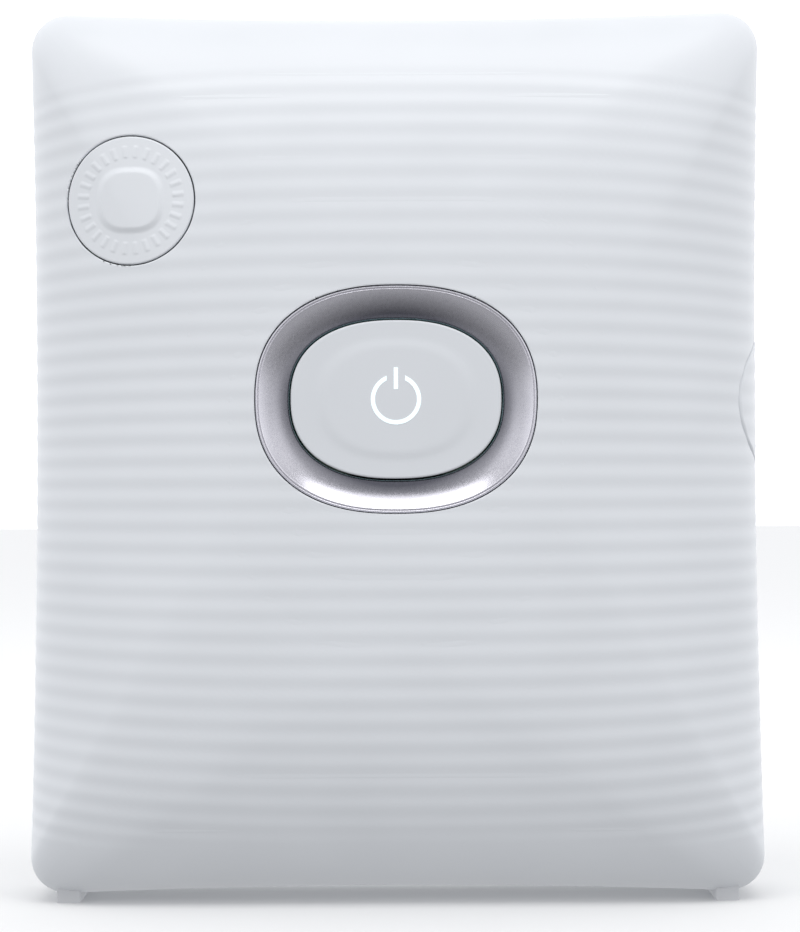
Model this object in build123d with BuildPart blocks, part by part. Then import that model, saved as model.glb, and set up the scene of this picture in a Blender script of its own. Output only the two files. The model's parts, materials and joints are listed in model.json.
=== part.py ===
from build123d import *
import os
from math import cos, pi, radians, sin, sqrt

# Pocket printer for square instant film, standing upright with its film slot on top.
# Millimetres. +Z is up, the front faces -Y, and +X is the right-hand side seen from the front.
# The origin is on the ground, under the middle of the body.

# ---------------------------------------------------------------- body: driving dimensions
WIDTH = 97.7
DEPTH = 42.0
HEIGHT = 119.1
FOOT_HEIGHT = 0.9
WALL = 2.0
PARTING_Y = 8.0  # where the front cover meets the rear cover

HALF_WIDTH = WIDTH / 2
HALF_HEIGHT = (HEIGHT - FOOT_HEIGHT) / 2
MID_Z = HEIGHT - HALF_HEIGHT
FRONT_Y = -DEPTH / 2
BACK_Y = DEPTH / 2
BAND_FRONT_Y = -5.0  # the sides are straight between these two depths
BAND_BACK_Y = 9.0
FRONT_POWER = 3.5  # a lower power gives a rounder cushion
BACK_POWER = 8.0
FRONT_STEPS = 13  # sections through each bulging face
BACK_STEPS = 9
CORNER_RADIUS = 5.2
CORNER_GROWTH = 26.0  # the corners open up as the cushion closes in
SIDE_SAG = 0.9  # how far the outline dips inward between its corners
TOP_SAG = 1.1
FAR = 130.0  # beyond the body in every direction, for cuts that pass right through
THROUGH = (-FAR, FAR)

# ---------------------------------------------------------------- fits and screws
GAP = 0.35  # between a moving piece and its opening
FIT = 0.05  # radial clearance of a shaft in its bearing
SNUG = 0.15  # between fixed pieces
SCREW_R = 0.98
PILOT_R = 1.0
SCREW_HEAD_R = 1.9
SCREW_HEAD_H = 1.2
SCREW_SLOT_HALF = 1.2
SCREW_SLOT_DEPTH = 0.5
SCREW_SLOT_WIDTH = 0.4
HEAD_CLEAR = 0.1  # radial clearance of a screw in a hole that it passes through

# ---------------------------------------------------------------- controls
BUTTON_TRAVEL = 0.7
FUNCTION_X, FUNCTION_Z = -34.6, 92.9
FUNCTION_R = 8.4
RELIEF = 0.3  # height of raised marks on the function button
DIAL_Z = 66.7  # centre of the power button and its dished ring
BEZEL_A, BEZEL_B = 18.3, 14.8  # half axes of the dished ring
DISH_A, DISH_B = 14.45, 11.05  # half axes of the hole in the dish
POWER_A, POWER_B = 13.7, 10.3  # half axes of the power button
OVAL_POWER = 2.35  # squareness of the ovals, 2 is a true ellipse
BEZEL_FRONT_Y = -20.45
DISH_DEPTH = 2.2
POWER_FACE_Y = -20.3

# ---------------------------------------------------------------- electronics
BOARD_FRONT_Y = -11.4
BOARD_BACK_Y = -10.4
BOARD_X = (-41.0, 40.5)
BOARD_Z = (57.0, 102.0)
DOME_R, DOME_H = 3.0, 0.8
DOME_SHEET = 0.2
STEM_END_Y = BOARD_FRONT_Y - DOME_H - 0.1

# ---------------------------------------------------------------- film chamber
CHAMBER_X = 39.3  # half width
CHAMBER_Y = (-4.0, 14.7)
CHAMBER_Z = (6.0, 99.5)
CHASSIS_WALL = 1.2
CHASSIS_FRONT_Y = -5.6
CHASSIS_SIDE_X = CHAMBER_X + CHASSIS_WALL
CHASSIS_TOP_Z = 101.3
FILM_Y = -3.4  # plane in which a sheet leaves the pack

# ---------------------------------------------------------------- rollers and gears
ROLLER_R = 4.0
ROLLER_HALF_LENGTH = 37.0
ROLLER_PITCH = 8.3  # distance between the two roller axes
ROLLER_Z = 106.0
DRIVE_Y = FILM_Y + ROLLER_PITCH / 2
PINCH_Y = FILM_Y - ROLLER_PITCH / 2
SHAFT_R = 1.5
PLATE_X = (38.9, 40.1)  # side plates of the roller frame
ROLLER_TEETH = 20
MODULE = ROLLER_PITCH / ROLLER_TEETH
SMALL_TEETH = 12
LARGE_TEETH = 24
PINION_TEETH = 10
CAM_TEETH = 40
MOTOR_Y, MOTOR_Z = 11.0, 108.0
MOTOR_R = 5.5
INNER_GEARS_X = (40.7, 42.5)
OUTER_GEARS_X = (42.9, 44.9)
CAM_GEARS_X = (-44.6, -42.8)
CAM_Y = 5.0
DEDENDUM, ADDENDUM = 1.05, 0.8  # in modules

# ---------------------------------------------------------------- film door and latch
DOOR_X = (-39.7, 43.4)
DOOR_Z = (6.5, 102.0)
DOOR_CORNER = 8.0
HINGE_X, HINGE_Y = -40.2, 17.1
BARREL_R = 2.0
BARREL_Z = (15.0, 93.0)
HINGE_PIN_R = 0.8
HINGE_CLEAR = 2.95  # from the hinge axis to the edge of the cover
LUG_R = 1.7
LUG_LENGTH = 4.0
LATCH_Y, LATCH_Z = -3.5, 66.6
LATCH_R = 8.4
LATCH_TRAVEL = 1.2
SLIDER_X = (43.7, 44.8)
HOOK_Y = (11.0, 12.2)

CASE_SCREWS = [(43.0, 7.2), (-43.0, 7.2), (43.2, 113.2), (-43.2, 113.2)]
CHASSIS_SCREWS = [(44.0, 40.0), (-44.0, 40.0), (44.0, 82.0), (-44.0, 82.0)]
BOARD_SCREWS = [(37.0, 61.0), (-37.0, 61.0), (37.0, 80.0), (-37.0, 80.0)]
BRACKET_SCREWS = [(32.0, 32.0), (-32.0, 32.0)]


# ---------------------------------------------------------------- helpers
def front_plane(y):
    """Plane seen from the front: local x is +X, local y is +Z, and its normal is -Y."""
    return Plane(origin=(0, y, 0), x_dir=(1, 0, 0), z_dir=(0, -1, 0))


def side_plane(x):
    """Plane across the width: local x is +Y, local y is +Z, and its normal is +X."""
    return Plane(origin=(x, 0, 0), x_dir=(0, 1, 0), z_dir=(1, 0, 0))


def middle(span):
    """Middle of a (low, high) range."""
    return (span[0] + span[1]) / 2


def block(x, y, z, mode=Mode.ADD):
    """Box that spans three (low, high) ranges."""
    with Locations((middle(x), middle(y), middle(z))):
        Box(x[1] - x[0], y[1] - y[0], z[1] - z[0], mode=mode)


def rod_x(x, y, z, radius, mode=Mode.ADD):
    """Cylinder along X over the range x."""
    with Locations((middle(x), y, z)):
        Cylinder(radius, x[1] - x[0], rotation=(0, 90, 0), mode=mode)


def rod_y(x, y, z, radius, mode=Mode.ADD):
    """Cylinder along Y over the range y."""
    with Locations((x, middle(y), z)):
        Cylinder(radius, y[1] - y[0], rotation=(90, 0, 0), mode=mode)


def rod_z(x, y, z, radius, mode=Mode.ADD):
    """Cylinder along Z over the range z."""
    with Locations((x, y, middle(z))):
        Cylinder(radius, z[1] - z[0], mode=mode)


def save(part, name):
    """Label a finished piece and write its STEP file."""
    part.label = name
    export_step(part, f"parts/{name}.step")


def oval_points(half_width, half_height, count=24):
    """Points on an oval that is a little squarer than an ellipse."""
    points = []
    for step in range(count):
        angle = 2 * pi * step / count
        across = abs(cos(angle)) ** (2 / OVAL_POWER)
        along = abs(sin(angle)) ** (2 / OVAL_POWER)
        x = half_width * across * (1 if cos(angle) > 0 else -1)
        z = half_height * along * (1 if sin(angle) > 0 else -1)
        points.append((x, DIAL_Z + z))
    return points


def oval_solid(half_width, half_height, y):
    """Oval slab round the power button's centre, over the range y."""
    with BuildPart() as slab:
        with BuildSketch(front_plane(y[1])):
            with BuildLine():
                Spline(oval_points(half_width, half_height), periodic=True)
            make_face()
        extrude(amount=y[1] - y[0])
    return slab.part


def oval_loft(sections):
    """Solid through several ovals, each given as (y, half width, half height)."""
    with BuildPart() as body:
        for y, half_width, half_height in sections:
            with BuildSketch(front_plane(y)):
                with BuildLine():
                    Spline(oval_points(half_width, half_height), periodic=True)
                make_face()
        loft()
    return body.part


def bulge_levels(start_y, bulge, power, steps):
    """Depth and scale of the sections of one bulging face, from its rim to its small flat top."""
    levels = []
    for step in range(1, steps + 1):
        turn = step if step < steps else step - 0.35
        rise = sin(turn / steps * pi / 2)
        levels.append((start_y + bulge * rise, (1 - rise**2) ** (1 / power)))
    return levels


def cushion_levels(inset):
    """Depth and scale of each section of the cushion, from the front face to the back face."""
    front = bulge_levels(BAND_FRONT_Y, FRONT_Y + inset - BAND_FRONT_Y, FRONT_POWER, FRONT_STEPS)
    back = bulge_levels(BAND_BACK_Y, BACK_Y - inset - BAND_BACK_Y, BACK_POWER, BACK_STEPS)
    return front[::-1] + [(BAND_FRONT_Y, 1.0), (BAND_BACK_Y, 1.0)] + back


def cushion(inset):
    """The whole outer form as one solid, shrunk by inset all round."""
    with BuildPart() as body:
        for y, scale in cushion_levels(inset):
            half_x = (HALF_WIDTH - inset) * scale
            half_z = (HALF_HEIGHT - inset) * scale
            dip_x = SIDE_SAG * scale**4
            dip_z = TOP_SAG * scale**4
            radius = min(CORNER_RADIUS - inset / 2 + CORNER_GROWTH * (1 - scale), 0.93 * half_x)
            with BuildSketch(Plane(origin=(0, y, MID_Z), x_dir=(1, 0, 0), z_dir=(0, -1, 0))):
                with BuildLine():
                    ThreePointArc((-half_x, half_z), (0, half_z - dip_z), (half_x, half_z))
                    ThreePointArc((half_x, half_z), (half_x - dip_x, 0), (half_x, -half_z))
                    ThreePointArc((half_x, -half_z), (0, dip_z - half_z), (-half_x, -half_z))
                    ThreePointArc((-half_x, -half_z), (dip_x - half_x, 0), (-half_x, half_z))
                make_face()
                fillet(vertices(), radius)
        loft(ruled=True)
    return body.part


def gear_solid(teeth, x, y, z, bore, turn=0.0):
    """Spur gear on an axis along X; turn is the angle of its first tooth in degrees."""
    pitch_r = teeth * MODULE / 2
    root_r = pitch_r - DEDENDUM * MODULE
    tip_r = pitch_r + ADDENDUM * MODULE
    pitch_angle = 360 / teeth
    with BuildPart() as gear:
        with BuildSketch(side_plane(x[0])):
            with Locations((y, z)):
                Circle(root_r)
            for tooth in range(teeth):
                angle = turn + tooth * pitch_angle
                corners = [
                    (root_r * 0.9, -0.27), (pitch_r, -0.21), (tip_r, -0.1),
                    (tip_r, 0.1), (pitch_r, 0.21), (root_r * 0.9, 0.27),
                ]
                outline = []
                for radius, share in corners:
                    flank = radians(angle + share * pitch_angle)
                    outline.append((y + radius * cos(flank), z + radius * sin(flank)))
                with BuildLine():
                    Polyline(*outline, close=True)
                make_face()
            with Locations((y, z)):
                Circle(bore, mode=Mode.SUBTRACT)
        extrude(amount=x[1] - x[0])
    return gear.part


def meshing_turn(teeth, from_y, from_z, from_teeth, from_turn, to_y, to_z):
    """Turn that puts a tooth gap of one gear opposite a tooth of the gear that it meets."""
    toward = Vector(to_y - from_y, to_z - from_z, 0)
    direction = toward.get_signed_angle(Vector(1, 0, 0), Vector(0, 0, -1))
    phase = ((direction - from_turn) * from_teeth / 360) % 1
    return direction + 180 + (0.5 + phase) * 360 / teeth


def coil(radius, wire, pitch, height, start, axis):
    """Coil spring that begins round the point start and rises along the axis."""
    with BuildPart() as spring:
        with BuildLine():
            path = Helix(pitch, height, radius, center=start, direction=axis)
        with BuildSketch(Plane(path @ 0, z_dir=path % 0)):
            Circle(wire / 2)
        sweep(path=path, is_frenet=True)
    return spring.part


def screw(x, z, seat_y, tip_y, toward_back):
    """Pan-head screw along Y whose head lies on seat_y, on the back or the front side."""
    side = 1 if toward_back else -1
    head = sorted((seat_y, seat_y + side * SCREW_HEAD_H))
    shank = sorted((seat_y, tip_y))
    slot = (head[1] - SCREW_SLOT_DEPTH, head[1]) if toward_back else (head[0], head[0] + SCREW_SLOT_DEPTH)
    long_way = (-SCREW_SLOT_HALF, SCREW_SLOT_HALF)
    short_way = (-SCREW_SLOT_WIDTH / 2, SCREW_SLOT_WIDTH / 2)
    with BuildPart() as body:
        rod_y(x, head, z, SCREW_HEAD_R)
        rod_y(x, shank, z, SCREW_R)
        for across, up in ((long_way, short_way), (short_way, long_way)):
            block((x + across[0], x + across[1]), slot, (z + up[0], z + up[1]), mode=Mode.SUBTRACT)
    return body.part


def gather(solids, name):
    """Write several identical loose solids as one node."""
    with BuildPart() as group:
        for solid in solids:
            add(solid)
    save(group.part, name)


os.makedirs("parts", exist_ok=True)

OUTER = cushion(0)
INNER = cushion(WALL)
LINER = cushion(WALL + 0.4)
RAISED = cushion(-RELIEF)
RECESSED = cushion(0.2)  # just under the surface, for pieces that lie flush

# ---------------------------------------------------------------- front cover
DIAL_CUT_Y = (-25.0, -15.0)  # cuts for the dial pass through the front wall only
COLLAR_END_Y = -10.0
WALL_X = 41.0  # cuts for the keys on the sides start inside the side walls
PORT_CLEAR = 0.4
FRAME_TOP_Z = 111.5
CASE_SCREW_TIP_Y = -2.0
CHASSIS_SCREW_TIP_Y = -4.0
USB_Y, USB_Z = -4.5, 20.0
USB_HALF_Y, USB_HALF_Z = 1.55, 4.5
USB_BOARD_Y = (USB_Y + USB_HALF_Y, USB_Y + USB_HALF_Y + 0.8)
LEDGE_X = -44.6
LEDGE_Y = (USB_BOARD_Y[1], USB_BOARD_Y[1] + 1.2)
LEDGE_Z = (14.0, 33.0)
RESET_Z = 29.5
RESET_R = 1.0
SLOT_HALF_X, SLOT_HALF_Y = 37.2, 1.3
BEZEL_HALF_X, BEZEL_HALF_Y = 40.0, 2.7
BOSS_R = 2.2
CHASSIS_BOSS_R = 1.9
EAR_Y = (3.0, 4.6)
BOSS_ROOT_Y = -16.0
RIB_REACH = 4.0
RIB_HALF = 0.8
COLLAR_WALL = 1.5
MERGE = 1.0  # how deep fittings run into the wall that carries them

with BuildPart() as front_bosses:
    for x, z in CASE_SCREWS:
        rod_y(x, (BOSS_ROOT_Y, PARTING_Y), z, BOSS_R)
    for x, z in CHASSIS_SCREWS:
        outward = 1 if x > 0 else -1
        rod_y(x, (BOSS_ROOT_Y, EAR_Y[0]), z, CHASSIS_BOSS_R)
        block(sorted((x, x + outward * RIB_REACH)), (BOSS_ROOT_Y, EAR_Y[0]), (z - RIB_HALF, z + RIB_HALF))
    rod_y(FUNCTION_X, (-FAR, BOARD_FRONT_Y - 1), FUNCTION_Z, FUNCTION_R + GAP + COLLAR_WALL)
    block((-FAR, LEDGE_X), LEDGE_Y, LEDGE_Z)
    add(cushion(MERGE), mode=Mode.INTERSECT)

with BuildPart() as front_cover:
    add(OUTER)
    add(INNER, mode=Mode.SUBTRACT)
    add(front_bosses.part)
    block(THROUGH, (PARTING_Y, FAR), THROUGH, mode=Mode.SUBTRACT)
    add(oval_solid(BEZEL_A + SNUG, BEZEL_B + SNUG, DIAL_CUT_Y), mode=Mode.SUBTRACT)
    rod_y(FUNCTION_X, (-FAR, COLLAR_END_Y), FUNCTION_Z, FUNCTION_R + GAP, mode=Mode.SUBTRACT)
    rod_x((WALL_X, FAR), LATCH_Y, LATCH_Z, LATCH_R + GAP, mode=Mode.SUBTRACT)
    rod_x((-FAR, -WALL_X), USB_Y, RESET_Z, RESET_R + GAP, mode=Mode.SUBTRACT)
    with BuildSketch(side_plane(-FAR)):
        with Locations((USB_Y, USB_Z)):
            SlotOverall(2 * (USB_HALF_Z + PORT_CLEAR), 2 * (USB_HALF_Y + PORT_CLEAR), rotation=90)
    extrude(amount=FAR - WALL_X, mode=Mode.SUBTRACT)
    with BuildSketch(Plane.XY.offset(FRAME_TOP_Z - 1.5)):
        with Locations((0, FILM_Y)):
            SlotOverall(2 * (BEZEL_HALF_X + SNUG), 2 * (BEZEL_HALF_Y + SNUG))
    extrude(amount=FAR, mode=Mode.SUBTRACT)
    for x, z in CASE_SCREWS:
        rod_y(x, (CASE_SCREW_TIP_Y - 0.5, PARTING_Y), z, PILOT_R, mode=Mode.SUBTRACT)
    for x, z in CHASSIS_SCREWS:
        rod_y(x, (CHASSIS_SCREW_TIP_Y - 0.5, EAR_Y[0]), z, PILOT_R, mode=Mode.SUBTRACT)
save(front_cover.part, "front_cover")

# ---------------------------------------------------------------- rear cover
SCREW_SEAT_Y = 11.5
PANEL_CLEAR = 0.5
LUG_ROOT = 5.0
OPENING_X = (HINGE_X - HINGE_CLEAR, DOOR_X[1] + GAP)
OPENING_Z = (DOOR_Z[0] - GAP, DOOR_Z[1] + GAP)
LUG_LEVELS = [
    (BARREL_Z[0] - 0.4 - LUG_LENGTH, BARREL_Z[0] - 0.4),
    (BARREL_Z[1] + 0.4, BARREL_Z[1] + 0.4 + LUG_LENGTH),
]


def upright_panel(x, z, corner):
    """Rounded rectangular prism along Y that cuts the back of the body."""
    with BuildPart() as panel:
        with BuildSketch(front_plane(FAR)):
            with Locations((middle(x), middle(z))):
                RectangleRounded(x[1] - x[0], z[1] - z[0], corner)
        extrude(amount=FAR - PARTING_Y - PANEL_CLEAR)
    return panel.part


with BuildPart() as rear_fittings:
    for x, z in CASE_SCREWS:
        rod_y(x, (PARTING_Y, FAR), z, BOSS_R)
    for level in LUG_LEVELS:
        rod_z(HINGE_X, HINGE_Y, level, LUG_R)
        block((HINGE_X - LUG_ROOT, HINGE_X), (HINGE_Y - LUG_R, HINGE_Y + LUG_R), level)
    add(RECESSED, mode=Mode.INTERSECT)

with BuildPart() as rear_cover:
    add(OUTER)
    add(INNER, mode=Mode.SUBTRACT)
    block(THROUGH, (-FAR, PARTING_Y), THROUGH, mode=Mode.SUBTRACT)
    add(upright_panel(OPENING_X, OPENING_Z, DOOR_CORNER + GAP), mode=Mode.SUBTRACT)
    add(rear_fittings.part)
    for x, z in CASE_SCREWS:
        rod_y(x, (PARTING_Y, SCREW_SEAT_Y), z, PILOT_R + HEAD_CLEAR, mode=Mode.SUBTRACT)
        rod_y(x, (SCREW_SEAT_Y, FAR), z, SCREW_HEAD_R + HEAD_CLEAR, mode=Mode.SUBTRACT)
    for level in LUG_LEVELS:
        rod_z(HINGE_X, HINGE_Y, level, HINGE_PIN_R + FIT, mode=Mode.SUBTRACT)
save(rear_cover.part, "rear_cover")

gather([screw(x, z, SCREW_SEAT_Y, CASE_SCREW_TIP_Y, True) for x, z in CASE_SCREWS], "case_screws")

# ---------------------------------------------------------------- film door
WINDOW_X, WINDOW_Z = 14.0, 86.0
WINDOW_SPAN_X = (WINDOW_X - 4.0, WINDOW_X + 4.0)
WINDOW_SPAN_Z = (WINDOW_Z - 7.5, WINDOW_Z + 7.5)
WINDOW_CUT_Y = (15.0, 25.0)
NOTCH_X = (-45.0, HINGE_X + LUG_R + 0.5)
NOTCH_Y = (10.0, 25.0)
NOTCH_CLEAR = 0.4
FINGER_ROOT_Y = 17.4
FINGER_X = (42.0, 42.9)
FINGER_Z = (64.0, 70.0)
LIP_X = (41.6, 42.0)
LIP_Y = (9.6, 10.6)

with BuildPart() as film_door:
    add(OUTER)
    add(INNER, mode=Mode.SUBTRACT)
    add(upright_panel(DOOR_X, DOOR_Z, DOOR_CORNER), mode=Mode.INTERSECT)
    for level in LUG_LEVELS:
        block(NOTCH_X, NOTCH_Y, (level[0] - NOTCH_CLEAR, level[1] + NOTCH_CLEAR), mode=Mode.SUBTRACT)
    rod_z(HINGE_X, HINGE_Y, BARREL_Z, BARREL_R)
    rod_z(HINGE_X, HINGE_Y, BARREL_Z, HINGE_PIN_R, mode=Mode.SUBTRACT)
    block(FINGER_X, (LIP_Y[0], FINGER_ROOT_Y), FINGER_Z)
    block(LIP_X, LIP_Y, FINGER_Z)
    block(WINDOW_SPAN_X, WINDOW_CUT_Y, WINDOW_SPAN_Z, mode=Mode.SUBTRACT)
save(film_door.part, "film_door")

with BuildPart() as film_window:
    block(WINDOW_SPAN_X, WINDOW_CUT_Y, WINDOW_SPAN_Z)
    add(RECESSED, mode=Mode.INTERSECT)
    add(INNER, mode=Mode.SUBTRACT)
save(film_window.part, "film_window")

PIN_ROOT = 6.0
PIN_SHORT = 0.3
with BuildPart() as hinge_pins:
    rod_z(HINGE_X, HINGE_Y, (LUG_LEVELS[0][0] + PIN_SHORT, BARREL_Z[0] + PIN_ROOT), HINGE_PIN_R)
    rod_z(HINGE_X, HINGE_Y, (BARREL_Z[1] - PIN_ROOT, LUG_LEVELS[1][1] - PIN_SHORT), HINGE_PIN_R)
save(hinge_pins.part, "hinge_pins")

# Two bowed leaf springs on the door press the film pack forward.
LOW_Z, HIGH_Z = 30.0, 74.0
MID_SPRING_Z = (LOW_Z + HIGH_Z) / 2
INNER_Y, OUTER_Y = 18.45, 18.8
BOW_Y = 15.2
LEAF = 0.4
SPRING_X = (-22.0, 12.0)
SPRING_WIDTH = 8.0
with BuildPart() as pack_springs:
    for x in SPRING_X:
        with BuildSketch(side_plane(x)):
            with BuildLine():
                ThreePointArc((INNER_Y, LOW_Z), (BOW_Y, MID_SPRING_Z), (INNER_Y, HIGH_Z))
                Line((INNER_Y, HIGH_Z), (OUTER_Y, HIGH_Z))
                ThreePointArc((OUTER_Y, HIGH_Z), (BOW_Y + LEAF, MID_SPRING_Z), (OUTER_Y, LOW_Z))
                Line((OUTER_Y, LOW_Z), (INNER_Y, LOW_Z))
            make_face()
        extrude(amount=SPRING_WIDTH)
save(pack_springs.part, "pack_springs")

# ---------------------------------------------------------------- dished ring, light guide, power button
BEZEL_BACK_Y = -17.3
FLANGE = 1.2  # how far a flange reaches behind the piece in front of it
FLANGE_THICK = 1.0
RIM = 0.5
with BuildPart() as led_bezel:
    add(oval_solid(BEZEL_A, BEZEL_B, (BEZEL_FRONT_Y, BEZEL_BACK_Y)))
    add(oval_solid(BEZEL_A + FLANGE, BEZEL_B + FLANGE, (BEZEL_BACK_Y - FLANGE_THICK, BEZEL_BACK_Y)))
    dish = []
    for share in (0.0, 0.3, 0.65, 1.0):
        inset = RIM + (BEZEL_A - RIM - DISH_A) * share
        depth = DISH_DEPTH * sin(share * pi / 2)
        dish.append((BEZEL_FRONT_Y + depth, BEZEL_A - inset, BEZEL_B - inset))
    add(oval_loft(dish), mode=Mode.SUBTRACT)
    add(oval_solid(DISH_A, DISH_B, DIAL_CUT_Y), mode=Mode.SUBTRACT)
save(led_bezel.part, "led_bezel")

KEY_CLEAR = 0.25
GUIDE_A, GUIDE_B = POWER_A + KEY_CLEAR, POWER_B + KEY_CLEAR
GUIDE_Y = (-18.7, -16.6)
GUIDE_FLANGE_A, GUIDE_FLANGE_B = 17.6, 14.1
GUIDE_FLANGE_THICK = 0.6
with BuildPart() as led_light_guide:
    add(oval_solid(DISH_A - FIT, DISH_B - FIT, GUIDE_Y))
    add(oval_solid(GUIDE_FLANGE_A, GUIDE_FLANGE_B, (GUIDE_Y[1] - GUIDE_FLANGE_THICK, GUIDE_Y[1])))
    add(oval_solid(GUIDE_A, GUIDE_B, DIAL_CUT_Y), mode=Mode.SUBTRACT)
save(led_light_guide.part, "led_light_guide")

# Standby mark: an open ring with an upright bar in its gap, as clear inserts in the button's face.
MARK_R = 3.0
MARK_STROKE = 0.55
MARK_DEPTH = 0.6
MARK_GAP = 2.4
BAR_LENGTH = 2.8
with BuildPart() as power_symbol:
    with BuildSketch(front_plane(POWER_FACE_Y + MARK_DEPTH)):
        with Locations((0, DIAL_Z)):
            Circle(MARK_R + MARK_STROKE / 2)
            Circle(MARK_R - MARK_STROKE / 2, mode=Mode.SUBTRACT)
        with Locations((0, DIAL_Z + MARK_R)):
            Rectangle(MARK_GAP, BAR_LENGTH, mode=Mode.SUBTRACT)
        with Locations((0, DIAL_Z + MARK_R - MARK_STROKE / 2)):
            Rectangle(MARK_STROKE, BAR_LENGTH)
    extrude(amount=MARK_DEPTH)
save(power_symbol.part, "power_symbol")

POWER_EDGE_Y = -19.8
POWER_SLOPE_Y = -20.1
POWER_SLOPE = 0.9
PLATEAU_A, PLATEAU_B = 11.4, 8.1
SKIRT_Y = (-16.4, -15.6)
KEY_WALL = 1.5
KEY_HOLLOW_Y = (-18.3, -14.0)
POWER_STEM_R = 2.5
with BuildPart() as power_button:
    crown = [(POWER_EDGE_Y, POWER_A, POWER_B)]
    crown.append((POWER_SLOPE_Y, POWER_A - POWER_SLOPE, POWER_B - POWER_SLOPE))
    crown.append((POWER_FACE_Y, PLATEAU_A, PLATEAU_B))
    add(oval_solid(POWER_A, POWER_B, (POWER_EDGE_Y, SKIRT_Y[0])))
    add(oval_loft(crown))
    add(oval_solid(POWER_A + FLANGE, POWER_B + FLANGE, SKIRT_Y))
    add(oval_solid(POWER_A - KEY_WALL, POWER_B - KEY_WALL, KEY_HOLLOW_Y), mode=Mode.SUBTRACT)
    rod_y(0, (KEY_HOLLOW_Y[0] - 0.2, STEM_END_Y), DIAL_Z, POWER_STEM_R)
    add(power_symbol.part, mode=Mode.SUBTRACT)
save(power_button.part, "power_button")

# ---------------------------------------------------------------- function button
TICK_COUNT = 28
TICK_R = 6.3
TICK_LENGTH, TICK_WIDTH = 1.5, 0.4
PAD_R = 4.3
FACE_CUT_Y = (-25.0, -15.0)
FUNCTION_STEM_R = 2.0
FUNCTION_STEM_Y = -17.2
FUNCTION_BACK_Y = BOARD_FRONT_Y - 1.4
with BuildPart() as relief:
    rod_y(FUNCTION_X, FACE_CUT_Y, FUNCTION_Z, PAD_R)
    with BuildSketch(front_plane(FACE_CUT_Y[1])):
        with Locations((FUNCTION_X, FUNCTION_Z)):
            with PolarLocations(TICK_R, TICK_COUNT):
                Rectangle(TICK_LENGTH, TICK_WIDTH)
    extrude(amount=FACE_CUT_Y[1] - FACE_CUT_Y[0])
    add(RAISED, mode=Mode.INTERSECT)
    add(INNER, mode=Mode.SUBTRACT)

with BuildPart() as cap_hollow:
    rod_y(FUNCTION_X, (-FAR, 0), FUNCTION_Z, FUNCTION_R - KEY_WALL)
    add(INNER, mode=Mode.INTERSECT)

with BuildPart() as function_button:
    rod_y(FUNCTION_X, (-FAR, FUNCTION_BACK_Y), FUNCTION_Z, FUNCTION_R)
    add(OUTER, mode=Mode.INTERSECT)
    add(relief.part)
    add(cap_hollow.part, mode=Mode.SUBTRACT)
    rod_y(FUNCTION_X, (FUNCTION_STEM_Y, STEM_END_Y), FUNCTION_Z, FUNCTION_STEM_R)
save(function_button.part, "function_button")


def snap_dome(x, z):
    """Thin round metal dome that stands on the board and collapses when pressed."""
    curve_r = (DOME_R**2 + DOME_H**2) / (2 * DOME_H)
    centre_y = BOARD_FRONT_Y - DOME_H + curve_r
    with BuildPart() as dome:
        with Locations((x, centre_y, z)):
            Sphere(curve_r)
            Sphere(curve_r - DOME_SHEET, mode=Mode.SUBTRACT)
        block(THROUGH, (-FAR, BOARD_FRONT_Y), THROUGH, mode=Mode.INTERSECT)
    return dome.part


save(snap_dome(0, DIAL_Z), "power_dome")
save(snap_dome(FUNCTION_X, FUNCTION_Z), "function_dome")

# ---------------------------------------------------------------- main board and what is on it
with BuildPart() as main_board:
    with BuildSketch(front_plane(BOARD_BACK_Y)):
        with Locations((middle(BOARD_X), middle(BOARD_Z))):
            RectangleRounded(BOARD_X[1] - BOARD_X[0], BOARD_Z[1] - BOARD_Z[0], 3)
        with Locations(*BOARD_SCREWS):
            Circle(PILOT_R + 0.1, mode=Mode.SUBTRACT)
    extrude(amount=BOARD_BACK_Y - BOARD_FRONT_Y)
save(main_board.part, "main_board")

FRONT_CHIPS = [  # x, z, width, height, thickness
    (-29, 74, 11, 11, 1.2), (-29, 62, 8, 7, 1.0), (-17, 92, 7, 5, 1.0), (-8, 96, 4, 4, 0.8),
    (2, 95, 6, 4, 1.6), (14, 94, 5, 5, 1.0), (27, 95, 8, 6, 1.4), (28, 86, 3, 3, 1.2),
]
BACK_CHIPS = [  # x, z, width, height, thickness
    (0, 84, 24, 4, 1.2), (-20, 60, 10, 4, 2.4), (18, 60, 6, 6, 2.0),
    (28, 74, 8, 5, 2.4), (-22, 78, 6, 6, 1.4),
]
with BuildPart() as board_components:
    for x, z, width, height, thick in FRONT_CHIPS:
        chip_y = (BOARD_FRONT_Y - thick, BOARD_FRONT_Y)
        block((x - width / 2, x + width / 2), chip_y, (z - height / 2, z + height / 2))
    for x, z, width, height, thick in BACK_CHIPS:
        chip_y = (BOARD_BACK_Y, BOARD_BACK_Y + thick)
        block((x - width / 2, x + width / 2), chip_y, (z - height / 2, z + height / 2))
save(board_components.part, "board_components")

CARRIER_X, CARRIER_Z = (21.0, 33.0), (63.0, 80.0)
CAN_X, CAN_Z = (22.0, 32.0), (63.5, 74.0)
CARRIER_Y = BOARD_FRONT_Y - 0.8
CAN_Y = BOARD_FRONT_Y - 2.2
with BuildPart() as wireless_module:
    block(CARRIER_X, (CARRIER_Y, BOARD_FRONT_Y), CARRIER_Z)
    block(CAN_X, (CAN_Y, CARRIER_Y), CAN_Z)
save(wireless_module.part, "wireless_module")

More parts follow.
